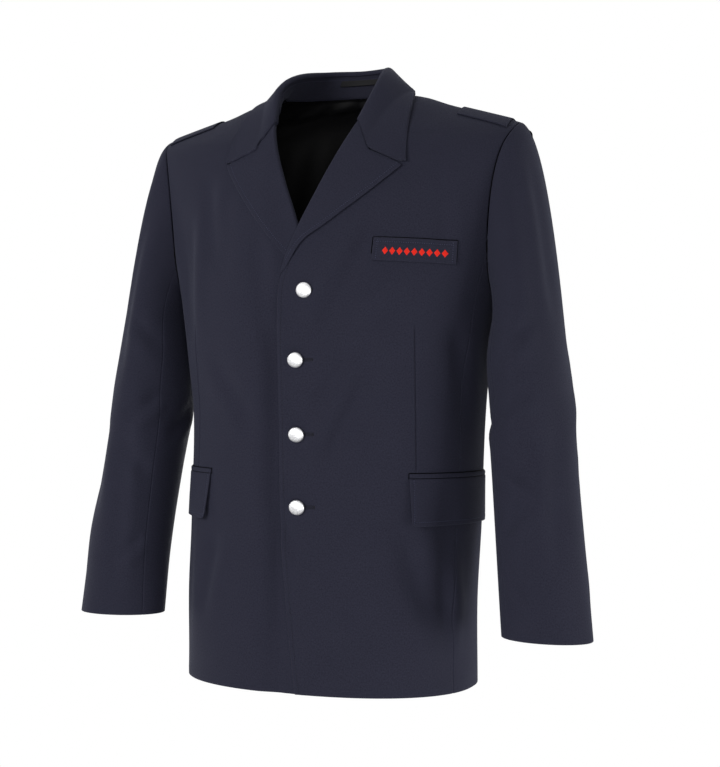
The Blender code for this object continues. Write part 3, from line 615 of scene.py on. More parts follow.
def edge_shape(distance, kind):
    """How far out a kind of edge moves the cloth at a distance from it."""
    if kind == "seam":
        return -SEAM_DEPTH * (1 - step(distance, 0.0, SEAM_WIDTH))
    if kind == "fine":
        return -FINE_EDGE_DEPTH * (1 - step(distance, 0.0, FINE_EDGE_WIDTH))
    if kind in ("free", "pressed"):
        inside = np.clip(1 - distance / EDGE_ROUNDING, 0, 1)
        rounded = -EDGE_ROUNDING * (1 - np.sqrt(1 - inside**2 * 0.96))
        if kind == "free":
            off = (distance - STITCH_INSET) / STITCH_GROOVE_WIDTH
            rounded = rounded - STITCH_GROOVE_DEPTH * np.exp(-(off**2))
        return rounded
    return np.zeros_like(distance)


def finish_edges(points, kinds):
    """Shapes a grid's edges. Kinds are for its first column, last column, first row and last row."""
    normals = grid_normals(points)
    round_ = lengths_along(points, 1)
    up = lengths_along(points, 0)
    out = edge_shape(round_, kinds[0]) + edge_shape(round_[:, -1:] - round_, kinds[1])
    out = out + edge_shape(up, kinds[2]) + edge_shape(up[-1:] - up, kinds[3])
    return points + normals * out[..., None]


def edge_distance(points, kinds):
    """How far each point of a grid lies from the nearest edge that isn't sewn into a seam."""
    far = np.full(points.shape[:2], 1.0)
    ways = ((points, 1), (points[:, ::-1], 1), (points, 0), (points[::-1], 0))
    for number, (laid, axis) in enumerate(ways):
        if kinds[number] not in ("free", "pressed"):
            continue
        along = lengths_along(laid, axis)
        if number in (1, 3):
            along = along[:, ::-1] if number == 1 else along[::-1]
        far = np.minimum(far, along)
    return far


def add_mesh(name, points, faces, *materials):
    """A smoothly shaded object of these points and faces."""
    mesh = bpy.data.meshes.new(name)
    mesh.from_pydata(np.reshape(points, (-1, 3)).tolist(), [], faces)
    mesh.polygons.foreach_set("use_smooth", np.ones(len(mesh.polygons), bool))
    for material in materials:
        mesh.materials.append(material)
    piece = bpy.data.objects.new(name, mesh)
    bpy.context.scene.collection.objects.link(piece)
    return piece


def add_sewing(name, points, faces, material, turned_out=True):
    """Adds a piece that lies on the cloth, its faces turned outward unless they already are."""
    piece = add_mesh(name, points, faces, material)
    if turned_out:
        sewn = bmesh.new()
        sewn.from_mesh(piece.data)
        bmesh.ops.recalc_face_normals(sewn, faces=sewn.faces)
        sewn.to_mesh(piece.data)
        sewn.free()
    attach(piece, "root")


def cloth_sheet(name, points, kinds, material, lining, thickness):
    """A sheet's mesh from a grid of points, with its wall, and its weave laid along the cloth."""
    rows, columns = points.shape[:2]
    index = np.arange(rows * columns).reshape(rows, columns)
    quads = np.stack([index[:-1, :-1], index[:-1, 1:], index[1:, 1:], index[1:, :-1]], axis=-1)
    piece = add_mesh(name, points, quads.reshape(-1, 4).tolist(), material, lining)
    mesh = piece.data
    round_ = lengths_along(points, 1)
    round_ = round_ - round_[:, columns // 2][:, None]
    up = lengths_along(points, 0)
    cloth_places = np.stack([round_, up], axis=-1).reshape(-1, 2)
    corners = np.empty(len(mesh.loops), int)
    mesh.loops.foreach_get("vertex_index", corners)
    laid = mesh.uv_layers.new(name="cloth")
    laid.data.foreach_set("uv", cloth_places[corners].ravel())
    # A painted highlight: how near each point lies to a free edge, which the twill turns into a paler
    # rim.
    rim_highlight = mesh.attributes.new("edge_highlight", "FLOAT", "POINT")
    rim_highlight.data.foreach_set("value", np.exp(-edge_distance(points, kinds).ravel() / EDGE_HIGHLIGHT_REACH))
    wall = piece.modifiers.new("cloth thickness", "SOLIDIFY")
    wall.thickness = thickness
    wall.offset = -1.0
    wall.material_offset = 1
    wall.material_offset_rim = 0
    return piece


def cut_size(points):
    """The size a sheet was cut to: its widest row, its longest column, and its area."""
    width = float(lengths_along(points, 1)[:, -1].max())
    length = float(lengths_along(points, 0)[-1].max())
    across = np.cross(points[1:, 1:] - points[:-1, :-1], points[1:, :-1] - points[:-1, 1:])
    area = float(np.linalg.norm(across, axis=-1).sum() / 2)
    return width, length, area


MADE = {}
LEAST_LENGTH = 0.0101


def add_cloth(
    node, points, kinds, material=None, lining=None, thickness=CLOTH
):
    """Adds the sheet that stands for a node of the solids, and keeps its points in MADE."""
    width, length, area = cut_size(points)
    shaped = finish_edges(points, kinds)
    piece = cloth_sheet("cloth_" + node, shaped, kinds, material or WOOL, lining or LINING, thickness)
    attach(piece, "root")
    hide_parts(node)
    # The narrowest strips' length is raised to the least length; nothing reads it after.
    length = max(length, LEAST_LENGTH)
    MADE[node] = shaped


def line_inside(node, edge, start, end):
    """The line of stitches beside an edge of a made sheet, and the cloth's normals along it."""
    points = MADE[node]
    normals = grid_normals(points)
    if edge in ("bottom", "top"):
        points = points.transpose(1, 0, 2)
        normals = normals.transpose(1, 0, 2)
    if edge in ("last", "top"):
        points = points[:, ::-1]
        normals = normals[:, ::-1]
    along = lengths_along(points, 1)
    line, sides = [], []
    first = int(round(start * (len(points) - 1)))
    last = int(round(end * (len(points) - 1)))
    for row in range(first, last + 1):
        if along[row, -1] < STITCH_INSET * 1.5:
            continue
        line.append(at_length(STITCH_INSET, along[row], points[row]))
        sides.append(at_length(STITCH_INSET, along[row], normals[row]))
    return np.array(line), unit(np.array(sides))


def stitches(name, lines, material):
    """Short hand stitches along lines on the cloth, each a small flattened bar with pointed ends."""
    ring = ((-1, 0.0), (-0.5, 0.8), (0.5, 0.8), (1, 0.0))
    half_run = 0.0004
    points, faces = [], []
    for line, normals in lines:
        along = line_lengths(line)
        count = int(along[-1] / STITCH_PITCH)
        for number in range(count):
            at = (number + 0.5) * along[-1] / count
            here = at_length(at, along, line)
            out = unit(at_length(at, along, normals))
            run = unit(at_length(at + half_run, along, line) - at_length(at - half_run, along, line))
            across = np.cross(run, out) * STITCH_WIDTH / 2
            tip = run * STITCH_LENGTH / 2
            sunk = here - out * STITCH_WIDTH * 0.3
            base = len(points)
            points.append(sunk - tip)
            for end in (-0.56, 0.56):
                middle = here + tip * end
                points += [middle + across * side + out * high * STITCH_WIDTH / 2 for side, high in ring]
            points.append(sunk + tip)
            for side in range(4):
                low, high = base + 1 + side, base + 1 + (side + 1) % 4
                faces += [(base, high, low), (low, high, high + 4, low + 4)]
                faces.append((base + 9, low + 4, high + 4))
    add_sewing(name, points, faces, material)


# ---------------------------------------------------------------- finishes


class Nodes:
    """Adds nodes to a material, from left to right."""

    def __init__(self, name):
        self.material = bpy.data.materials.new(name)
        self.material.use_nodes = True
        self.tree = self.material.node_tree
        self.shader = self.tree.nodes["Principled BSDF"]
        self.count = 0

    def add(self, kind, settings=None, **inputs):
        node = self.tree.nodes.new(kind)
        node.location = (-1400 + 160 * self.count, 300 - 60 * (self.count % 5))
        self.count += 1
        for name, value in (settings or {}).items():
            setattr(node, name, value)
        for name, value in inputs.items():
            numbered = name[0] == "_"
            self.feed(node.inputs[int(name[1:]) if numbered else name.replace("_", " ")], value)
        return node

    def feed(self, socket, value):
        if hasattr(value, "is_linked"):
            self.tree.links.new(value, socket)
        elif isinstance(value, bpy.types.Node):
            self.tree.links.new(value.outputs[0], socket)
        elif isinstance(value, tuple) and len(value) == 3 and socket.type == "RGBA":
            socket.default_value = (*value, 1)
        else:
            socket.default_value = value

    def math(self, operation, first, second):
        return self.add("ShaderNodeMath", {"operation": operation}, _0=first, _1=second)

    def total(self, *parts):
        """The sum of the parts, each a value and its weight."""
        total = None
        for value, weight in parts:
            part = self.math("MULTIPLY", value, weight)
            total = part if total is None else self.math("ADD", total, part)
        return total

    def spread(self, value, low=0.0, high=1.0, to_low=0.0, to_high=1.0):
        return self.add("ShaderNodeMapRange", None, _0=value, _1=low, _2=high, _3=to_low, _4=to_high)

    def noise(self, where, scale, detail=2.0, rough=0.5):
        return self.add(
            "ShaderNodeTexNoise", None, Vector=where, Scale=scale, Detail=detail, Roughness=rough
        )

    def bands(self, where, width, direction, distortion=0.0):
        """Stripes of this width. One band of a wave texture is pi / 10 wide at scale 1."""
        settings = {"wave_type": "BANDS", "bands_direction": direction}
        scale = PI / 10 / width
        wave = self.add("ShaderNodeTexWave", settings, Vector=where, Scale=scale, Distortion=distortion)
        return wave.outputs["Fac"]

    def blend(self, share, first, second):
        node = self.tree.nodes.new("ShaderNodeMix")
        node.data_type = "RGBA"
        node.location = (-1400 + 160 * self.count, -200)
        self.count += 1
        self.feed(node.inputs[0], share)
        self.feed(node.inputs[6], first)
        self.feed(node.inputs[7], second)
        return node.outputs[2]

    def bump(self, height, distance, strength=1.0, under=None):
        node = self.add("ShaderNodeBump", None, Height=height, Distance=distance, Strength=strength)
        if under is not None:
            self.tree.links.new(under.outputs[0], node.inputs["Normal"])
        return node

    def finish(self, **values):
        for name, value in values.items():
            self.feed(self.shader.inputs[name.replace("_", " ")], value)
        return self.material


RIB = 0.00078


def twill(name, dark, light, sheen):
    """Fine wool twill: steep ribs, a flecked yarn, and a painted highlight paler along its free edges.
    """
    made = Nodes(name)
    laid = made.add("ShaderNodeUVMap", {"uv_map": "cloth"})
    turned = made.add("ShaderNodeMapping", None, Vector=laid, Rotation=(0, 0, math.radians(27)))
    ribs = made.bands(turned, RIB, "X")
    picks = made.bands(laid, RIB * 0.62, "Y")
    weave = made.math("MULTIPLY", ribs, made.math("ADD", made.math("MULTIPLY", picks, 0.35), 0.65))
    yarn = made.add("ShaderNodeMapping", None, Vector=laid, Scale=(900, 420, 1))
    fleck = made.noise(yarn, 1.0, 3.0, 0.65)
    melange = made.noise(laid, 520.0)
    cloudy = made.noise(laid, 22.0, 3.0)
    mixed = made.total((fleck, 0.44), (melange, 0.52), (cloudy, 0.07), (weave, 0.22))
    spread = made.spread(mixed, 0.33, 0.77)
    # Painted highlight: the colour goes paler within a couple of millimetres of a free edge.
    highlight_share = made.add("ShaderNodeAttribute", {"attribute_name": "edge_highlight"})
    rim_highlight = made.math("MULTIPLY", highlight_share.outputs["Fac"], 0.05)
    paler = tuple(value * 1.9 for value in light)
    colour = made.blend(rim_highlight, made.blend(spread, dark, light), paler)
    fuzz = made.bump(fleck.outputs[0], 0.00012, 0.6)
    woven = made.bump(weave, 0.00010, 0.7, fuzz)
    rough = made.spread(spread, to_low=0.92, to_high=0.80)
    return made.finish(
        Base_Color=colour,
        Roughness=rough.outputs[0],
        Normal=woven,
        Specular_IOR_Level=0.10,
        Sheen_Weight=sheen,
        Sheen_Roughness=0.45,
        Sheen_Tint=(0.55, 0.60, 0.80),
    )


def satin(name, dark, light, rough, shine):
    """Smooth lining with a fine warp."""
    made = Nodes(name)
    laid = made.add("ShaderNodeUVMap", {"uv_map": "cloth"})
    warp = made.add("ShaderNodeMapping", None, Vector=laid, Scale=(1500, 120, 1))
    threads = made.noise(warp, 1.0)
    creased = made.noise(laid, 30.0)
    colour = made.blend(threads.outputs[0], dark, light)
    wavy = made.bump(creased.outputs[0], 0.0008, 0.5)
    fine = made.bump(threads.outputs[0], 0.00006, 0.5, wavy)
    return made.finish(Base_Color=colour, Roughness=rough, Normal=fine, Specular_IOR_Level=shine)


def thread(name, colour, rough=0.6, pitch=0.00032):
    """Twisted sewing thread."""
    made = Nodes(name)
    where = made.add("ShaderNodeTexCoord")
    twist = made.add("ShaderNodeMapping", None, Vector=where.outputs["Object"], Rotation=(0.3, 0.4, 0.7))
    strands = made.bands(twist, pitch, "DIAGONAL", 0.4)
    darker = tuple(value * 0.72 for value in colour)
    shade = made.blend(strands, darker, colour)
    ridged = made.bump(strands, 0.00012, 0.8)
    return made.finish(Base_Color=shade, Roughness=rough, Normal=ridged, Specular_IOR_Level=0.2)


def grained_silver(name):
    """Silver coloured metal, finely grained all over, a little darker in its pits."""
    made = Nodes(name)
    where = made.add("ShaderNodeTexCoord").outputs["Object"]
    grain = made.add("ShaderNodeTexVoronoi", {"feature": "F1"}, Vector=where, Scale=1150.0)
    pits = made.total((grain.outputs["Distance"], 0.9), (made.noise(where, 420.0, 3.0), 0.5))
    share = made.spread(pits, 0.35)
    colour = made.blend(share, (0.90, 0.90, 0.90), (0.52, 0.52, 0.54))
    dimpled = made.bump(pits, 0.00035, 0.55)
    rough = made.spread(share, to_low=0.26, to_high=0.46)
    return made.finish(Base_Color=colour, Roughness=rough.outputs[0], Normal=dimpled, Metallic=1.0)


WOOL = twill("navy_wool_twill", (0.0090, 0.0092, 0.0170), (0.0215, 0.0220, 0.0370), 0.05)
STAND_WOOL = twill("neck_stand_wool", (0.0085, 0.0085, 0.0150), (0.0200, 0.0205, 0.0330), 0.04)
LINING = satin("black_body_lining", (0.0006, 0.0006, 0.0008), (0.0014, 0.0014, 0.0017), 0.75, 0.03)
# Black satin, its colour raised above the body lining's: a painted sheen for the glow just under the
# stand.
NECK_SATIN_PAINTED_SHEEN = satin("black_neck_satin_painted_sheen", (0.0012, 0.0012, 0.0015), (0.0027, 0.0027, 0.0033), 0.50, 0.10)
HANGER_SATIN = satin("hanger_loop_satin", (0.0036, 0.0036, 0.0042), (0.0072, 0.0072, 0.0082), 0.50, 0.10)
NAVY_THREAD = thread("navy_pick_thread", (0.045, 0.050, 0.095), 0.55)
DARK_THREAD = thread("dark_pick_thread", (0.0012, 0.0012, 0.0024), 0.8)
HOLE_THREAD = thread("buttonhole_thread", (0.0070, 0.0072, 0.0120), 0.8)
RED_THREAD = thread("red_embroidery_thread", (0.80, 0.016, 0.004), 0.55, 0.00042)
SILVER = grained_silver("grained_silver")

# ---------------------------------------------------------------- body pieces

PANEL_WIDTH = 0.30
PANEL_GAP = math.radians(0.03)
BODY_SHARE = places(0.49, 0.0062, True, False)
ARMHOLE_SHARE = np.linspace(0, 1, 50)[1:]
SHOULDER_SHARE = places(0.15, 0.006, False, True)[1:]


def panel_levels():
    """Each row's level, and how far the panel's outer edge lies from the side line there."""
    side_top = float(armhole_level(SIDE_SEAM_TURN))
    gap = PANEL_GAP
    low = side_top * BODY_SHARE
    turn = SIDE_SEAM_TURN * (1 - ARMHOLE_SHARE)
    beside = (ARMHOLE_HALF_ANGLE + math.radians(0.12)) * np.sin(turn) + gap
    high = mix(ARMHOLE_TOP, 2.0, SHOULDER_SHARE)
    level = np.concatenate([low, armhole_level(turn), high])
    off_side = np.concatenate(
        [np.full(low.shape, SIDE_SEAM_ANGLE + gap), np.maximum(beside, gap), np.full(high.shape, gap)]
    )
    return level, off_side


def dart_share(level, side):
    """At what share of each row the dart's line lies: held to the chest's above the chest."""
    held = np.clip(level, 0.2, 0.96)
    dart = angle_where(held, 0.3, 1.4, lambda point: point[..., 0] - abs(DART_X[side]))
    held_start = front_edge_angle(held)
    return (dart - held_start) / (PI / 2 - SIDE_SEAM_ANGLE - held_start)


def front_points(side):
    """A front, from its free edge round to the side seam, armhole and shoulder seam."""
    level, off_side = panel_levels()
    start = front_edge_angle(level, side)
    end = PI / 2 - off_side
    middle = 0.62  # the share of the points that lies before the dart
    low = places(PANEL_WIDTH * middle, 0.0054) * middle
    high = middle + places(PANEL_WIDTH * (1 - middle), 0.0054) * (1 - middle)
    share = np.concatenate([low, high[1:]])
    pulled = dart_share(level, side)[:, None]
    beyond = 1 - (1 - share) / (1 - middle) * (1 - pulled)
    bent = np.where(share <= middle, share / middle * pulled, beyond)
    angle = mix(start[:, None], end[:, None], bent) * side
    rows = np.broadcast_to(level[:, None], angle.shape)
    points = on_body(angle, rows)
    if side < 0:
        x, z = points[..., 0], points[..., 2]
        valley = VALLEY_DEPTH * np.exp(-(((x - VALLEY_X) / VALLEY_WIDTH) ** 2))
        valley = valley * step(z, -0.84, -0.56) * (1 - step(z, -0.290, -0.245))
        sunk = underlap_drop(x, z) + valley
        points = points - torso_normal(angle, rows) * sunk[..., None]
        points = points[:, ::-1]
    # The dart's groove follows the column of points where the two halves meet.
    centre = len(low) - 1 if side > 0 else points.shape[1] - len(low)
    along = lengths_along(points, 1)
    off = (along - along[:, centre][:, None]) / DART_HALF_WIDTH
    z = points[..., 2]
    ends = step(z, DART_BOTTOM - 0.006, DART_BOTTOM + 0.004) * (1 - step(z, DART_TOP - 0.014, DART_TOP))
    return points - grid_normals(points) * (DART_DEPTH * np.exp(-(off**2)) * ends)[..., None]


def back_points(side):
    """A back panel, from the side seam and armhole to the centre-back seam."""
    level, off_side = panel_levels()
    centre = centre_back_angle(level)
    share = places(PANEL_WIDTH * 0.75, 0.0060)
    angle = mix((PI / 2 + off_side)[:, None], centre[:, None], share) * side
    points = on_body(angle, np.broadcast_to(level[:, None], angle.shape))
    return points if side > 0 else points[:, ::-1]


def side_points(side):
    """A side panel, under the armhole."""
    share = places(0.09, 0.0060)
    angle = mix(-1, 1, share) * (SIDE_SEAM_ANGLE + SIDE_SEAM_LAP)
    top = armhole_level(PI - np.arcsin(np.abs(angle) / ARMHOLE_HALF_ANGLE)) - 0.0006
    up = places(0.49, 0.0062)
    angle, level = np.broadcast_arrays(angle[None, :], top[None, :] * up[:, None])
    return on_body(PI / 2 * side + angle, level)


for side, name in SIDES:
    edges = ("free", "seam") if side > 0 else ("seam", "free")
    add_cloth("front_" + name, front_points(side), (*edges, "pressed", "seam"))
    add_cloth("back_" + name, back_points(side), SEWN_OVER_HEM)
    add_cloth("side_" + name, side_points(side), SEWN_OVER_HEM)

# ---------------------------------------------------------------- sleeves


def sleeve_ring(turn, height):
    row = smooth(SLEEVE, SLEEVE_KEYS, -height)
    out = row[..., 3] * np.cos(turn)
    back = -row[..., 4] * np.sin(turn)
    twist = np.radians(row[..., 5])
    x = row[..., 1] + out * np.cos(twist) + back * np.sin(twist)
    y = row[..., 2] + back * np.cos(twist) - out * np.sin(twist)
    return pack_xyz(x, y, height)


def sleeve_points(turn, share_down, creases):
    """Points of a wearer's left sleeve, from the armhole (0) to the cuff (1)."""
    turn, share_down = np.broadcast_arrays(turn, share_down)
    height = mix(SLEEVE_TOP, CUFF, np.clip((share_down - CAP_SHARE) / (1 - CAP_SHARE), 0, 1))
    tube = sleeve_ring(turn, height)
    share = np.clip(share_down / CAP_SHARE, 0, 1)[..., None]
    upness = (1 + np.cos(turn)) / 2
    leave = unit(pack_xyz(0.35 + 0.65 * upness, -0.45 * np.sin(turn), -0.95 + 0.72 * upness))
    start = armhole_point(turn) + leave * SEAM_GAP
    top = np.full(turn.shape, SLEEVE_TOP)
    end = sleeve_ring(turn, top)
    reach = np.linalg.norm(end - start, axis=-1, keepdims=True)
    arrive = unit(sleeve_ring(turn, top - 0.03) - end) * reach
    leave = leave * reach * mix(0.30, CAP_FULLNESS, upness)[..., None]
    cap = start * ((1 + 2 * share) * (1 - share) ** 2) + leave * (share * (1 - share) ** 2)
    cap = cap + end * (share * share * (3 - 2 * share)) + arrive * (share * share * (share - 1))
    points = np.where((share_down >= CAP_SHARE)[..., None], tube, cap)
    out = fold_depth(SLEEVE_FOLDS, turn, points[..., 2])
    for crease in creases:
        turn0, turn1 = math.radians(crease.turn0), math.radians(crease.turn1)
        middle = (turn0 + turn1) / 2
        round_ = (turn - middle + PI) % (2 * PI) - PI + middle
        flat = np.stack([round_ * CREASE_ARM_RADIUS, points[..., 2]], axis=-1)
        ends = (turn0 * CREASE_ARM_RADIUS, crease.z0), (turn1 * CREASE_ARM_RADIUS, crease.z1)
        out = out + CREASE_STRENGTH * crease.depth * crease_shape(flat, *ends, crease.width, 0.15)
    return points + pack_xyz(np.cos(turn), -np.sin(turn), 0.0) * out[..., None]


def body_tree():
    """The body's outside as a search tree."""
    columns, rows = 240, 150
    angle = 2 * PI * np.arange(columns) / columns
    level = 2.0 * np.arange(rows + 1) / rows
    points = torso(angle[None, :], level[:, None])
    index = np.arange((rows + 1) * columns).reshape(rows + 1, columns)
    after = np.roll(index, -1, axis=1)
    quads = np.stack([index[:-1], after[:-1], after[1:], index[1:]], axis=-1).reshape(-1, 4)
    return BVHTree.FromPolygons(points.reshape(-1, 3).tolist(), quads.tolist())


TREE = body_tree()


def clear_of(points, clearance, wanted):
    """The wanted points, moved out of the body where they lie nearer to it than the clearance."""
    points = points.copy()
    clearance = np.broadcast_to(clearance, points.shape[:-1])
    for place in np.ndindex(points.shape[:-1]):
        if not wanted[place]:
            continue
        point = Vector(points[place])
        for _ in range(2):
            near, normal, _, _ = TREE.find_nearest(point)
            height = (point - near).dot(normal)
            if height < clearance[place]:
                point = point + normal * (float(clearance[place]) - height)
        points[place] = point
    return points


def sleeve_grid(start, end, creases, side):
    share_round = places(abs(end - start) * ARM_RADIUS, 0.0052)
    share_down = 1 - places(0.66, 0.0054)
    turn = mix(end, start, share_round)[None, :]
    points = sleeve_points(turn, share_down[:, None], creases)
    down = np.broadcast_to(share_down[:, None], points.shape[:2])
    points = clear_of(points, mix(SEAM_GAP, 0.0010, step(down, 0.0, 0.06)), points[..., 0] < 0.235)
    if side < 0:
        points = points[:, ::-1] * np.array((-1.0, 1.0, 1.0))
    return points


for side, name in SIDES:
    creases = LEFT_SLEEVE_CREASES if side > 0 else RIGHT_SLEEVE_CREASES
    front, back = SLEEVE_FRONT_SEAM + SLEEVE_LAP, SLEEVE_BACK_SEAM - 2 * PI - SLEEVE_LAP
    upper = sleeve_grid(back, front, creases, side)
    under = sleeve_grid(SLEEVE_FRONT_SEAM - SLEEVE_LAP, SLEEVE_BACK_SEAM + SLEEVE_LAP, creases, side)
    add_cloth("sleeve_top_" + name, upper, SEWN_OVER_HEM)
    add_cloth("sleeve_under_" + name, under, SEWN_OVER_HEM)

# ---------------------------------------------------------------- lapels and collar


def rolled(fold, out, up, share):
    """The rolled edge of a turned cloth: from inside the fold (share 0) round to its top (share 1)."""
    turn = mix(math.radians(-20), PI / 2, share)[..., None]
    return fold + up * (FOLD_RADIUS * np.sin(turn)) - out * (FOLD_RADIUS * np.cos(turn))


def lapel_flat(side, share_up, share_out):
    """A lapel's place seen from the front."""
    rows = LEFT_LAPEL if side > 0 else RIGHT_LAPEL
    keys = [index / (len(rows) - 1) for index in range(len(rows))]
    row = smooth(rows, keys, share_up)
    fold_x = front_edge_x(row[..., 0], side) - FOLD_RADIUS
    first = np.clip(share_out * 2, 0, 1)
    second = np.clip(share_out * 2 - 1, 0, 1)
    x = mix(mix(fold_x, row[..., 1], first), row[..., 3], second)
    z = mix(mix(row[..., 0], row[..., 2], first), row[..., 4], second)
    return x, z


def lapel_place(side, x, z, lift):
    """A point over the left front, or over the sunk right front."""
    angle, level = from_front(x * side, z)
    points = on_body(angle, level)
    if side < 0:
        lift = lift - underlap_drop(points[..., 0], points[..., 2])
    return points + torso_normal(angle, level) * np.asarray(lift)[..., None]


def lapel_points(side, share_up, share_out):
    share_up, share_out = np.broadcast_arrays(share_up, share_out)
    zero = np.zeros(share_up.shape)
    lift = mix(LAPEL_LOW_LIFT, LAPEL_LIFT, step(share_up, 0.0, 0.16))
    fold = lapel_flat(side, share_up, zero)
    near = lapel_flat(side, share_up, zero + 0.02)
    base = lapel_place(side, *fold, zero)
    out = unit(lapel_place(side, *near, zero) - base)
    up = unit(lapel_place(side, *fold, zero + 0.001) - base)
    centre = base + out * FOLD_RADIUS + up * (lift - FOLD_RADIUS)[..., None]
    roll = rolled(centre, out, up, np.clip(share_out / ROLL_SHARE, 0, 1))
    flat = np.clip((share_out - ROLL_SHARE) / (1 - ROLL_SHARE), 0, 1)
    edge = lapel_flat(side, share_up, zero + 1)
    width = np.hypot(edge[0] - fold[0], edge[1] - fold[1])
    start = np.minimum(FOLD_RADIUS / np.maximum(width, FOLD_RADIUS), 0.5)
    flat = np.where(flat < 0.5, mix(start, 0.5, flat * 2), flat)
    lying = lapel_place(side, *lapel_flat(side, share_up, flat), lift)
    return np.where((share_out < ROLL_SHARE)[..., None], roll, lying)


def collar_curves(along):
    """The collar's fold, middle and edge. Along runs from the right gorge (-1) to the left (1)."""
    rows = np.array([row.fold + row.middle + row.edge for row in COLLAR])
    mirror = np.array((-1, 1, 1) * 3)
    rows = np.vstack([rows[1] * mirror, rows])
    values = smooth(rows, [-COLLAR_KEYS[1]] + list(COLLAR_KEYS), np.abs(along))
    values = np.where((along < 0)[..., None], values * mirror, values)
    values[..., 0] -= RIGHT_FOLD_OUT * np.exp(-(((along + 0.86) / 0.13) ** 2))
    return values[..., 0:3], values[..., 3:6], values[..., 6:9]


def collar_frame(along):
    """At the fold: its centre, the way out to the leaf, and the way up from it."""
    fold, middle, _ = collar_curves(along)
    ahead = collar_curves(np.minimum(along + 0.01, 1))[0]
    behind = collar_curves(np.maximum(along - 0.01, -1))[0]
    tangent = unit(ahead - behind)
    out = middle - fold
    out = unit(out - tangent * (out * tangent).sum(-1, keepdims=True))
    up = np.cross(out, tangent)
    up = np.where(up[..., 2:3] < 0, -up, up)
    frontness = step(np.abs(along), 0.45, 0.95)[..., None]
    level_out = unit(out * np.array((1.0, 1.0, 0.0)))
    out = unit(mix(level_out, out, frontness))
    up = unit(mix(np.array((0.0, 0.0, 1.0)), up, frontness))
    centre = fold + out * (FOLD_RADIUS * frontness) - up * (FOLD_RADIUS * (1 - frontness))
    return centre, out, up


def leaf_points(along, share_out):
    along, share_out = np.broadcast_arrays(along, share_out)
    centre, out, up = collar_frame(along)
    roll = rolled(centre, out, up, np.clip(share_out / ROLL_SHARE, 0, 1))
    flat = np.clip((share_out - ROLL_SHARE) / (1 - ROLL_SHARE), 0, 1)[..., None]
    _, middle, edge = collar_curves(along)
    top = rolled(centre, out, up, np.ones(along.shape))
    bend = top + out * 0.004
    share = np.clip(flat * 2, 0, 1)
    first = mix(mix(top, bend, share), mix(bend, middle, share), share)
    lying = np.where(flat < 0.5, first, mix(middle, edge, np.clip(flat * 2 - 1, 0, 1)))
    lying = clear_of(lying, LAPEL_LIFT, share_out >= ROLL_SHARE)
    points = np.where((share_out < ROLL_SHARE)[..., None], roll, lying)
    for side in (1, -1):
        joined = np.where(along * side > 0, step(np.abs(along), 0.80, 1.0), 0.0)[..., None]
        columns = np.nonzero(joined[0, :, 0] > 0)[0]
        shares = share_out[:, columns]
        seam = lapel_points(side, np.ones(shares.shape), shares)
        apart = GORGE_GAP + NOTCH_GAP * step(shares, 0.52, 0.64)
        apart = apart + NOTCH_CORNER * np.clip((shares - 0.90) / 0.10, 0, 1) ** 2
        back = unit(seam - lapel_points(side, np.full(shares.shape, 0.97), shares))
        seam = seam + back * apart[..., None]
        points[:, columns] = mix(points[:, columns], seam, joined[:, columns])
    return points


def across_turned(width):
    """Shares across a turned cloth: round its roll, then over this width to its free edge."""
    flat = places(width, 0.0024, False)[1:]
    return np.concatenate([np.linspace(0, ROLL_SHARE, 9), ROLL_SHARE + (1 - ROLL_SHARE) * flat])


for side, name in SIDES:
    out = across_turned(0.075)
    up = places(0.205, 0.0036, False)
    tip = np.clip((out - 0.93) / 0.07, 0, 1) ** 2
    points = lapel_points(side, up[:, None] * (1 - LAPEL_TIP * tip[None, :]), out[None, :])
    edges = ("none", "free") if side > 0 else ("free", "none")
    points = points if side > 0 else points[:, ::-1]
    add_cloth("lapel_" + name, points, (*edges, "none", "fine"), lining=WOOL)

along = mix(-1, 1, places(0.50, 0.0044))
leaf = leaf_points(along[None, :], across_turned(0.055)[::-1][:, None])
add_cloth("collar_leaf", leaf, ("fine", "fine", "free", "none"), lining=WOOL)


def neckline_points():
    """The neck's sewn edge on the wearer's left, from the centre back to the gorge."""
    back = torso(np.linspace(PI, PI / 2, 40), 2.0)
    end = float(front_edge_angle(np.array([2.0]))[0])
    side = torso(np.linspace(PI / 2, end, 12)[1:], 2.0)
    level = np.linspace(2.0, 1.74, 30)[1:]
    return np.concatenate([back, side, torso(front_edge_angle(level), level)])


NECKLINE = neckline_points()


def stand_points(along, share_up):
    """The collar's stand, inside the leaf, from the neckline up to the fold."""
    along, share_up = np.broadcast_arrays(along, share_up)
    lengths = line_lengths(NECKLINE)
    foot = at_length(np.abs(along) * lengths[-1], lengths, NECKLINE)
    foot[..., 0] *= np.where(along < 0, -1, 1)
    foot[..., 2] -= 0.0015
    centre, out, up = collar_frame(along)
    foot = foot - unit(out * np.array((1.0, 1.0, 0.0))) * 0.0024
    head = rolled(centre, out, up, np.zeros(along.shape)) - up * 0.0003
    share = share_up[..., None]
    return mix(foot, head, share) - out * (0.0016 * np.sin(PI * share))


along = mix(-1, 1, places(0.42, 0.0050)) * STAND_END
up = places(0.046, 0.0020)
stand = stand_points(along[None, :], up[:, None])
edges = ("seam", "seam", "seam", "none")
add_cloth("collar_stand", stand, edges, STAND_WOOL, WOOL)


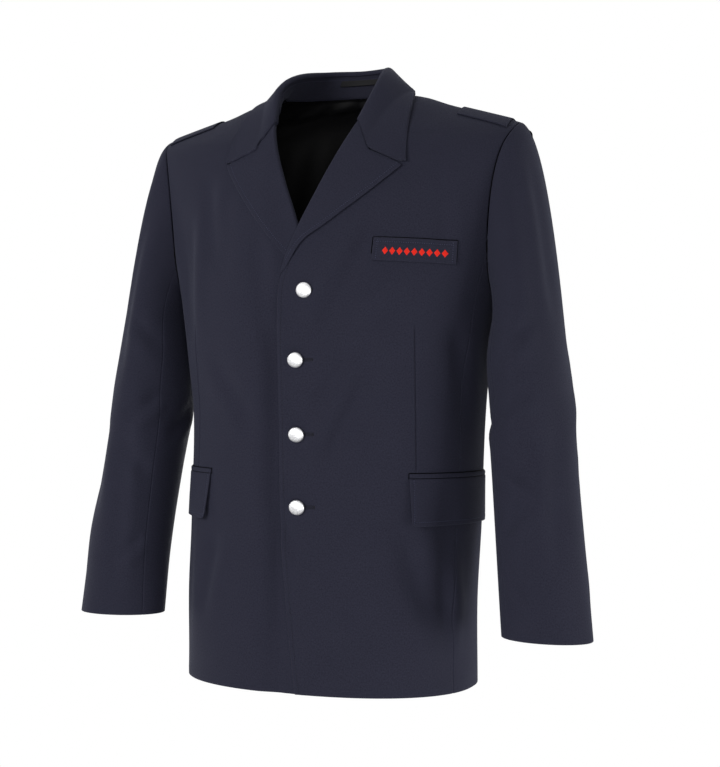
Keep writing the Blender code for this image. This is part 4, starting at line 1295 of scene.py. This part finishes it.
def hanger_points():
    """The hanger loop: a narrow satin band on the inside of the stand, its ends sewn down."""
    across = -mix(-1, 1, places(0.060, 0.0020)) * HANGER_HALF_LENGTH / HALF_NECKLINE
    up = mix(HANGER_LOW, HANGER_HIGH, places(0.011, 0.0012, False, False))
    along, share_up = np.broadcast_arrays(across[None, :], up[:, None])
    points = stand_points(along, share_up)
    run = stand_points(along + 0.004, share_up) - stand_points(along - 0.004, share_up)
    rise = stand_points(along, share_up + 0.05) - stand_points(along, share_up - 0.05)
    inward = unit(np.cross(run, rise))
    bow = 0.0012 * (1 - (along / along.max()) ** 2) ** 0.5
    return points + inward * (HANGER_LIFT + bow)[..., None]


add_cloth(
    "hanger_loop", hanger_points(), ("pressed", "pressed", "none", "none"),
    HANGER_SATIN, HANGER_SATIN, THIN_CLOTH,
)

angle = PI + mix(-1, 1, places(0.34, 0.0036)) * NECK_FACING_ANGLE
up = places(0.20, 0.0044)
angle, share_up = np.broadcast_arrays(angle[None, :], up[:, None])
off = (angle - PI) / math.radians(5)
pleat = LINING_PLEAT * np.exp(-(off**2)) + 0.0010 * np.exp(-(((off - 0.35) / 0.16) ** 2))
ripple = 0.0006 * np.sin(angle * 37 + 2.0 * share_up) * (1 - share_up)
# Under the stand the satin bulges in, with soft slanting folds, before it falls away.
bulge = LINING_BULGE * np.exp(-(((share_up - 0.88) / 0.075) ** 2)) * (1 - step(share_up, 0.94, 1.0))
bulge = bulge * (1 - step(np.abs(angle - PI), 0.8, 1.45))
ripple = ripple + bulge * (1 + 0.20 * np.sin(angle * 17 + 14 * share_up))
lining_level = mix(NECK_LINING_BOTTOM, 1.999, share_up)
sink = mix(LINING_SINK, LINING_TOP_SINK, share_up**2)
depth = (sink + pleat + ripple)[..., None]
lining = torso(angle, lining_level) - torso_normal(angle, lining_level) * depth
# The neck satin on it is painted paler: a painted sheen.
add_cloth(
    "neck_lining", lining, ("none", "none", "none", "seam"),
    LINING, NECK_SATIN_PAINTED_SHEEN, THIN_CLOTH,
)

# ---------------------------------------------------------------- flaps, welt and shoulder loops


def flap_ends(side):
    """The angles at which a hip flap starts and ends."""
    start, level = from_front(FLAP_FRONT_X[side], FLAP_TOP)
    turns = float(start) + side * np.radians(np.arange(0, 140) * 0.5)
    gone = lengths_along(torso(turns, np.full(turns.shape, float(level)))[None], 1)[0]
    return float(start), float(np.interp(FLAP_LENGTH, gone, turns))


def band_points(side, top, bottom, lift, share_round, share_up, rake=0.0, corner=0.0):
    """A strip sewn to the hip from its front end round to its rear end."""
    start, end = flap_ends(side)
    share, share_up = np.broadcast_arrays(share_round[None, :], share_up[:, None])
    share = share if side > 0 else 1 - share
    from_end = np.minimum(share, 1 - share) * FLAP_LENGTH
    inside = np.clip(corner - from_end, 0, None)
    round_off = corner - np.sqrt(np.clip(corner**2 - inside**2, 0, None))
    rounding = np.where(inside > 0, round_off, 0.0)
    height = mix(bottom + rounding, top, share_up)
    level = (height - HEM) / (CHEST - HEM)
    angle = mix(start, end, share) + side * rake * (1 - share_up) / 0.16
    if corner > 0:
        corner_bow = FLAP_CORNER_BOW * np.exp(-((share * FLAP_LENGTH / 0.030) ** 2))
        lift = lift + (FLAP_LOW_BOW + corner_bow) * (1 - share_up) ** 1.5
    return on_body(angle, level, lift)


for side, name in SIDES:
    corner_fine = np.linspace(0, FLAP_CORNER, 12) / FLAP_LENGTH
    share = np.concatenate([places(FLAP_LENGTH, 0.0036), corner_fine, 1 - corner_fine])
    share = np.unique(np.round(share, 5))
    up = places(FLAP_DEPTH, 0.0030)
    low = FLAP_TOP - FLAP_DEPTH
    flap = band_points(side, FLAP_TOP, low, FLAP_LIFT, share, up, FLAP_RAKE, FLAP_CORNER)
    edges = ("free", "free", "free", "seam")
    add_cloth("flap_" + name, flap, edges, lining=WOOL)
    low = FLAP_TOP + SEAM_GAP
    share, up = places(FLAP_LENGTH, 0.0036), places(JETTING_HEIGHT, 0.0008)
    jetting = band_points(side, low + JETTING_HEIGHT, low, JETTING_LIFT, share, up)
    add_cloth("flap_welt_" + name, jetting, ("seam",) * 4, lining=WOOL)


def welt_points(share_round, share_up, lift):
    """Points over the breast welt, by shares of its length and height."""
    along = share_round * WELT_LENGTH
    up = share_up * WELT_HEIGHT
    x = WELT_CORNER[0] + along - up * WELT_TILT
    z = WELT_CORNER[1] + up + along * WELT_TILT
    return on_body(*from_front(x, z), lift)


welt = welt_points(places(WELT_LENGTH, 0.0030)[None, :], places(WELT_HEIGHT, 0.0024)[:, None], WELT_LIFT)
add_cloth("breast_welt", welt, ("free", "free", "pressed", "free"), lining=WOOL)

for side, name in SIDES:
    x = mix(LOOP_OUTER, LOOP_INNER, places(LOOP_OUTER - LOOP_INNER, 0.0030))[:, None]
    y = mix(-LOOP_HALF_WIDTH, LOOP_HALF_WIDTH, places(LOOP_HALF_WIDTH * 2, 0.0030))[None, :]
    angle, level = from_above(x, y)
    loop = on_body(angle, level, LOOP_LIFT)
    loop = loop if side > 0 else loop[:, ::-1] * np.array((-1.0, 1.0, 1.0))
    add_cloth(
        "shoulder_loop_" + name, loop, ("pressed",) * 4,
        lining=WOOL,
    )

# ---------------------------------------------------------------- pick stitches, buttonholes, embroidery

for node, runs in {
    "front_left": [("first", 0.02, 0.72)],
    "lapel_left": [("last", 0.06, 0.985)],
    "lapel_right": [("first", 0.10, 0.985)],
    "collar_leaf": [("bottom", 0.015, 0.985)],
    "flap_left": [("first", 0.10, 0.95), ("bottom", 0.08, 0.92), ("last", 0.10, 0.95)],
    "flap_right": [("first", 0.10, 0.95), ("bottom", 0.08, 0.92), ("last", 0.10, 0.95)],
    "breast_welt": [("top", 0.10, 0.90), ("first", 0.15, 0.85), ("last", 0.15, 0.85)],
    "collar_stand": [("top", 0.05, 0.95)],
}.items():
    lines = [line_inside(node, *run) for run in runs]
    stitches("stitches_" + node, lines, DARK_THREAD if node == "front_left" else NAVY_THREAD)


def cord_along(name, lines, width, height, material):
    """Narrow flattened cords, each along a line on the cloth."""
    ring = 2 * PI * np.arange(6) / 6
    verts, faces = [], []
    for line, normals in lines:
        run = unit(np.gradient(line, axis=0))
        across = unit(np.cross(run, normals))
        points = line[:, None] + across[:, None] * (np.cos(ring) * width / 2)[None, :, None]
        points = points + normals[:, None] * (np.sin(ring) * height / 2)[None, :, None]
        base, count = len(verts), len(line)
        verts.extend(points.reshape(-1, 3).tolist())
        for row in range(count - 1):
            for side in range(6):
                low = base + row * 6
                after = (side + 1) % 6
                faces.append((low + side, low + after, low + 6 + after, low + 6 + side))
        faces.append(tuple(base + side for side in reversed(range(6))))
        faces.append(tuple(base + (count - 1) * 6 + side for side in range(6)))
    add_sewing(name, verts, faces, material)


def welt_line(share_round, share_up, lift):
    share_round, share_up = arrays(share_round, share_up)
    points = welt_points(share_round, share_up, lift)
    angle, level = from_front(points[:, 0], points[:, 2])
    return points, torso_normal(angle, level)


def hip_line(side, height, share, lift):
    """A line along a hip pocket at a height, with the cloth's normals."""
    start, end = flap_ends(side)
    share, height = arrays(share, height)
    level = (height - HEM) / (CHEST - HEM)
    return on_cloth(mix(start, end, share), level, lift)


long = np.linspace(0, 1, 40)
past = 0.0007  # how far the dark lines round a pocket, painted shadow in part, lie past its welt
# Dark cords in the lining's colour. Along the breast welt's top they are the pocket's dark mouth with
# painted shadow, and along its ends they are painted shadow lines.
cord_along(
    "breast_pocket_mouth_and_shadow",
    [
        welt_line(mix(-0.006, 1.004, long), 1 + past / WELT_HEIGHT, 0.0006),
        welt_line(-past / WELT_LENGTH, mix(0.30, 1.03, long), 0.0006),
        welt_line(1 + past / WELT_LENGTH, mix(0.10, 1.02, long), 0.0004),
    ],
    0.0012, 0.0008, LINING,
)
# At the hips the cords are the pocket mouth between flap and jetting, dark with painted shadow, and
# painted shadow lines over the jetting and at its front end.
for side, name in SIDES:
    top = FLAP_TOP + JETTING_HEIGHT
    cord_along(
        "hip_pocket_mouth_and_shadow_" + name,
        [
            hip_line(side, FLAP_TOP + 0.0001, long, 0.0018),
            hip_line(side, top + 0.0006, mix(-0.003, 1.003, long), 0.0004),
            hip_line(side, mix(FLAP_TOP - 0.0005, top + 0.0006, long), -0.0005 / FLAP_LENGTH, 0.0006),
        ],
        0.0010, 0.0008, LINING,
    )


def buttonhole(name, place):
    """A sewn buttonhole: an oblong ring of close stitches round a dark slit."""
    half = (place.hole_to - place.hole_from) / 2
    centre = (place.hole_to + place.hole_from) / 2
    turns = np.linspace(0, 2 * PI, 96, endpoint=False)
    long, tall = power(np.cos(turns), 0.35), power(np.sin(turns), 0.35)
    ribbed = 1 + 0.10 * np.sin(turns * 48)
    rows = []
    for turn in np.linspace(0, 2 * PI, 8, endpoint=False):
        spread = (np.cos(turn) * ribbed - 1) * BUTTONHOLE_RIB
        x = centre + long * (half + spread)
        z = place.height + tall * (BUTTONHOLE_HALF_HEIGHT + spread)
        rows.append(on_body(*from_front(x, z), np.sin(turn) * 0.00042 * ribbed))
    points = np.array(rows)
    index = np.arange(points[..., 0].size).reshape(points.shape[:2])
    over = np.roll(index, -1, axis=0)
    quads = np.stack([index, np.roll(index, -1, axis=1), np.roll(over, -1, axis=1), over], axis=-1)
    add_sewing(name, points, quads.reshape(-1, 4).tolist(), HOLE_THREAD)
    across = np.linspace(centre - half + 0.0012, centre + half - 0.0012, 16)
    slit = [on_cloth(*from_front(across, place.height), 0.0002)]
    bar_height = np.linspace(-0.8, 0.8, 6) * BUTTONHOLE_HALF_HEIGHT + place.height
    slit.append(on_cloth(*from_front(centre + half - 0.0008, bar_height), 0.0003))
    cord_along(name + "_slit", slit, 0.0007, 0.0004, HOLE_THREAD)


LOZENGES = 9
LOZENGE_ROW = (0.120, 0.916)
LOZENGE_MIDDLE = 0.43
LOZENGE_HALF_WIDTH = 0.0036
LOZENGE_HALF_HEIGHT = 0.0050
LOZENGE_RISE = 0.0006


def lozenges(name):
    """A row of satin stitched lozenges along the breast welt."""
    rings = np.array((0.0, 0.35, 0.62, 0.82, 0.94, 1.0))
    corners = 24
    verts, faces = [], []
    for number in range(LOZENGES):
        across = mix(*LOZENGE_ROW, (number + 0.5) / LOZENGES)
        turns = 2 * PI * np.arange(corners) / corners
        reach = 1 / (np.abs(np.cos(turns)) + np.abs(np.sin(turns)))
        base = len(verts)
        half_width, half_height = LOZENGE_HALF_WIDTH / WELT_LENGTH, LOZENGE_HALF_HEIGHT / WELT_HEIGHT
        share_x = across + np.outer(rings, np.cos(turns) * reach) * half_width
        share_z = LOZENGE_MIDDLE + np.outer(rings, np.sin(turns) * reach) * half_height
        dome = LOZENGE_RISE * np.sqrt(1 - rings**2 * 0.98)[:, None] - 0.00015
        points = welt_points(share_x, share_z, WELT_LIFT + np.broadcast_to(dome, share_x.shape))
        verts.append(points[0].mean(axis=0).tolist())
        verts.extend(points[1:].reshape(-1, 3).tolist())
        for side in range(corners):
            after = (side + 1) % corners
            faces.append((base, base + 1 + side, base + 1 + after))
            for ring in range(len(rings) - 2):
                low = base + 1 + ring * corners
                faces.append((low + side, low + corners + side, low + corners + after, low + after))
    add_sewing(name, verts, faces, RED_THREAD, False)


for number, place in enumerate(BUTTONS):
    buttonhole("buttonhole_" + str(number + 1), place)
lozenges("red_lozenges")

# ---------------------------------------------------------------- buttons


def deselect_all():
    for shown in bpy.context.selected_objects:
        shown.select_set(False)


def pick_cap(piece, way):
    """In edit mode: selects the faces that look straight up (1) or straight down (-1)."""
    mesh = bmesh.from_edit_mesh(piece.data)
    for vertex in mesh.verts:
        vertex.select = False
    mesh.select_flush(False)
    for face in mesh.faces:
        face.select_set(face.normal.z * way > 0.9)
    bmesh.update_edit_mesh(piece.data)


def extrude_up(rise):
    bpy.ops.mesh.extrude_region_move(TRANSFORM_OT_translate={"value": (0, 0, rise)})


def domed_button(name, place):
    """A two part metal button: a domed face rolled over a back plate, with a shank below."""
    deselect_all()
    bpy.ops.mesh.primitive_cylinder_add(
        vertices=64, radius=BUTTON_RADIUS, depth=0.0016, end_fill_type="NGON", location=(0, 0, 0.0018)
    )
    piece = bpy.context.object
    piece.name = name
    piece.data.name = name
    bpy.ops.object.transform_apply(location=True, rotation=True, scale=True)
    bpy.ops.object.mode_set(mode="EDIT")
    pick_cap(piece, 1)
    radius, height = 1.0, 0.0
    steps = 12
    for number in range(1, steps):
        turn = PI / 2 * number / steps
        extrude_up((math.sin(turn) - height) * (BUTTON_HEIGHT - BUTTON_RIM))
        narrower = math.cos(turn) / radius
        bpy.ops.transform.resize(value=(narrower, narrower, 1), center_override=(0, 0, 0))
        radius, height = math.cos(turn), math.sin(turn)
    extrude_up((1 - height) * (BUTTON_HEIGHT - BUTTON_RIM))
    bpy.ops.mesh.merge(type="CENTER")
    pick_cap(piece, -1)
    bpy.ops.mesh.inset(thickness=0.0009, depth=0.0003)
    bpy.ops.mesh.inset(thickness=0.0060, depth=0.0)
    extrude_up(-0.0006)
    bpy.ops.mesh.select_all(action="SELECT")
    bpy.ops.mesh.normals_make_consistent(inside=False)
    bpy.ops.object.mode_set(mode="OBJECT")
    rim = piece.modifiers.new("rolled rim", "BEVEL")
    rim.width = 0.00030
    rim.segments = 3
    rim.limit_method = "ANGLE"
    rim.angle_limit = math.radians(50)
    bpy.ops.object.modifier_apply(modifier=rim.name)
    bpy.ops.object.shade_smooth_by_angle(angle=math.radians(50))
    foot, normal = on_cloth(*from_front(place.x, place.height), BUTTON_STAND)
    turned = (Vector(normal) + Vector(BUTTON_TILT)).to_track_quat("Z", "Y").to_matrix().to_4x4()
    piece.data.transform(Matrix.Translation(Vector(foot)) @ turned)
    piece.data.materials.append(SILVER)
    return piece


for number, place in enumerate(BUTTONS):
    made = domed_button("domed_button_" + str(number + 1), place)
    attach(made, "root")
    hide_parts("button_" + str(number + 1))

# ---------------------------------------------------------------- floor, light and camera

SURROUND = 0.15

deselect_all()
bpy.ops.mesh.primitive_plane_add(size=2.8, location=(0, 0, -1.45))
floor = bpy.context.object
floor.name = "studio_floor"
pale = Nodes("pale_floor").finish(Base_Color=(0.92, 0.92, 0.92), Roughness=0.9)
floor.data.materials.append(pale)

# The surround is white where the camera or bare metal sees it, and lights the cloth less than that.
world = bpy.data.worlds.new("pale_studio")
bpy.context.scene.world = world
world.use_nodes = True
surround = world.node_tree.nodes["Background"]
surround.inputs["Color"].default_value = (1, 1, 1, 1)
ray = world.node_tree.nodes.new("ShaderNodeLightPath")
strength = world.node_tree.nodes.new("ShaderNodeMapRange")
strength.inputs["To Min"].default_value = 1.0
strength.inputs["To Max"].default_value = SURROUND
world.node_tree.links.new(ray.outputs["Is Diffuse Ray"], strength.inputs["Value"])
world.node_tree.links.new(strength.outputs[0], surround.inputs["Strength"])

AIM = Vector((0.026, 0.010, -0.38))
LAMPS = table("Lamp", "name place size power", (
    ("left_softbox", (-1.0, -2.3, 0.25), 1.0, 42),
    ("right_softbox", (2.3, 0.2, -0.9), 1.0, 34),
    ("left_rim", (-2.3, 0.4, -0.6), 1.0, 11),
    ("front_fill", (0.9, -2.3, -1.0), 1.2, 24),
    ("top_softbox", (0.1, 0.1, 1.6), 1.2, 6),
    ("back_fill", (-0.6, 2.6, -0.4), 1.2, 30),
))
for lamp in LAMPS:
    light = bpy.data.lights.new(lamp.name, "AREA")
    light.energy = lamp.power
    light.size = lamp.size
    shown = bpy.data.objects.new(lamp.name, light)
    bpy.context.scene.collection.objects.link(shown)
    shown.location = lamp.place
    shown.rotation_euler = (AIM - Vector(lamp.place)).to_track_quat("-Z", "Y").to_euler()

# The photo's camera, fitted to the jacket's outline: focal length and picture height in pixels.
VIEW_ANGLE = math.radians(20.7)
CAMERA_DISTANCE = 2.017
CAMERA_ROLL = math.radians(0.38)
CAMERA_SHIFT = 0.0276
FOCAL_PIXELS = 1517.5
PICTURE_PIXELS = 767
target = Vector((CAMERA_SHIFT * math.cos(VIEW_ANGLE), CAMERA_SHIFT * math.sin(VIEW_ANGLE), -0.38))
towards = Vector((math.sin(VIEW_ANGLE), -math.cos(VIEW_ANGLE), 0.0))
camera = bpy.data.cameras.new("photo_view")
camera.sensor_width = 36
camera.lens = FOCAL_PIXELS * 36 / PICTURE_PIXELS
seen_by = bpy.data.objects.new("photo_view", camera)
bpy.context.scene.collection.objects.link(seen_by)
seen_by.location = target + towards * CAMERA_DISTANCE
level_view = (-towards).to_track_quat("-Z", "Y").to_matrix()
seen_by.rotation_euler = (level_view @ Matrix.Rotation(CAMERA_ROLL, 3, "Z")).to_euler()
bpy.context.scene.camera = seen_by
bpy.context.scene.view_settings.view_transform = "Standard"
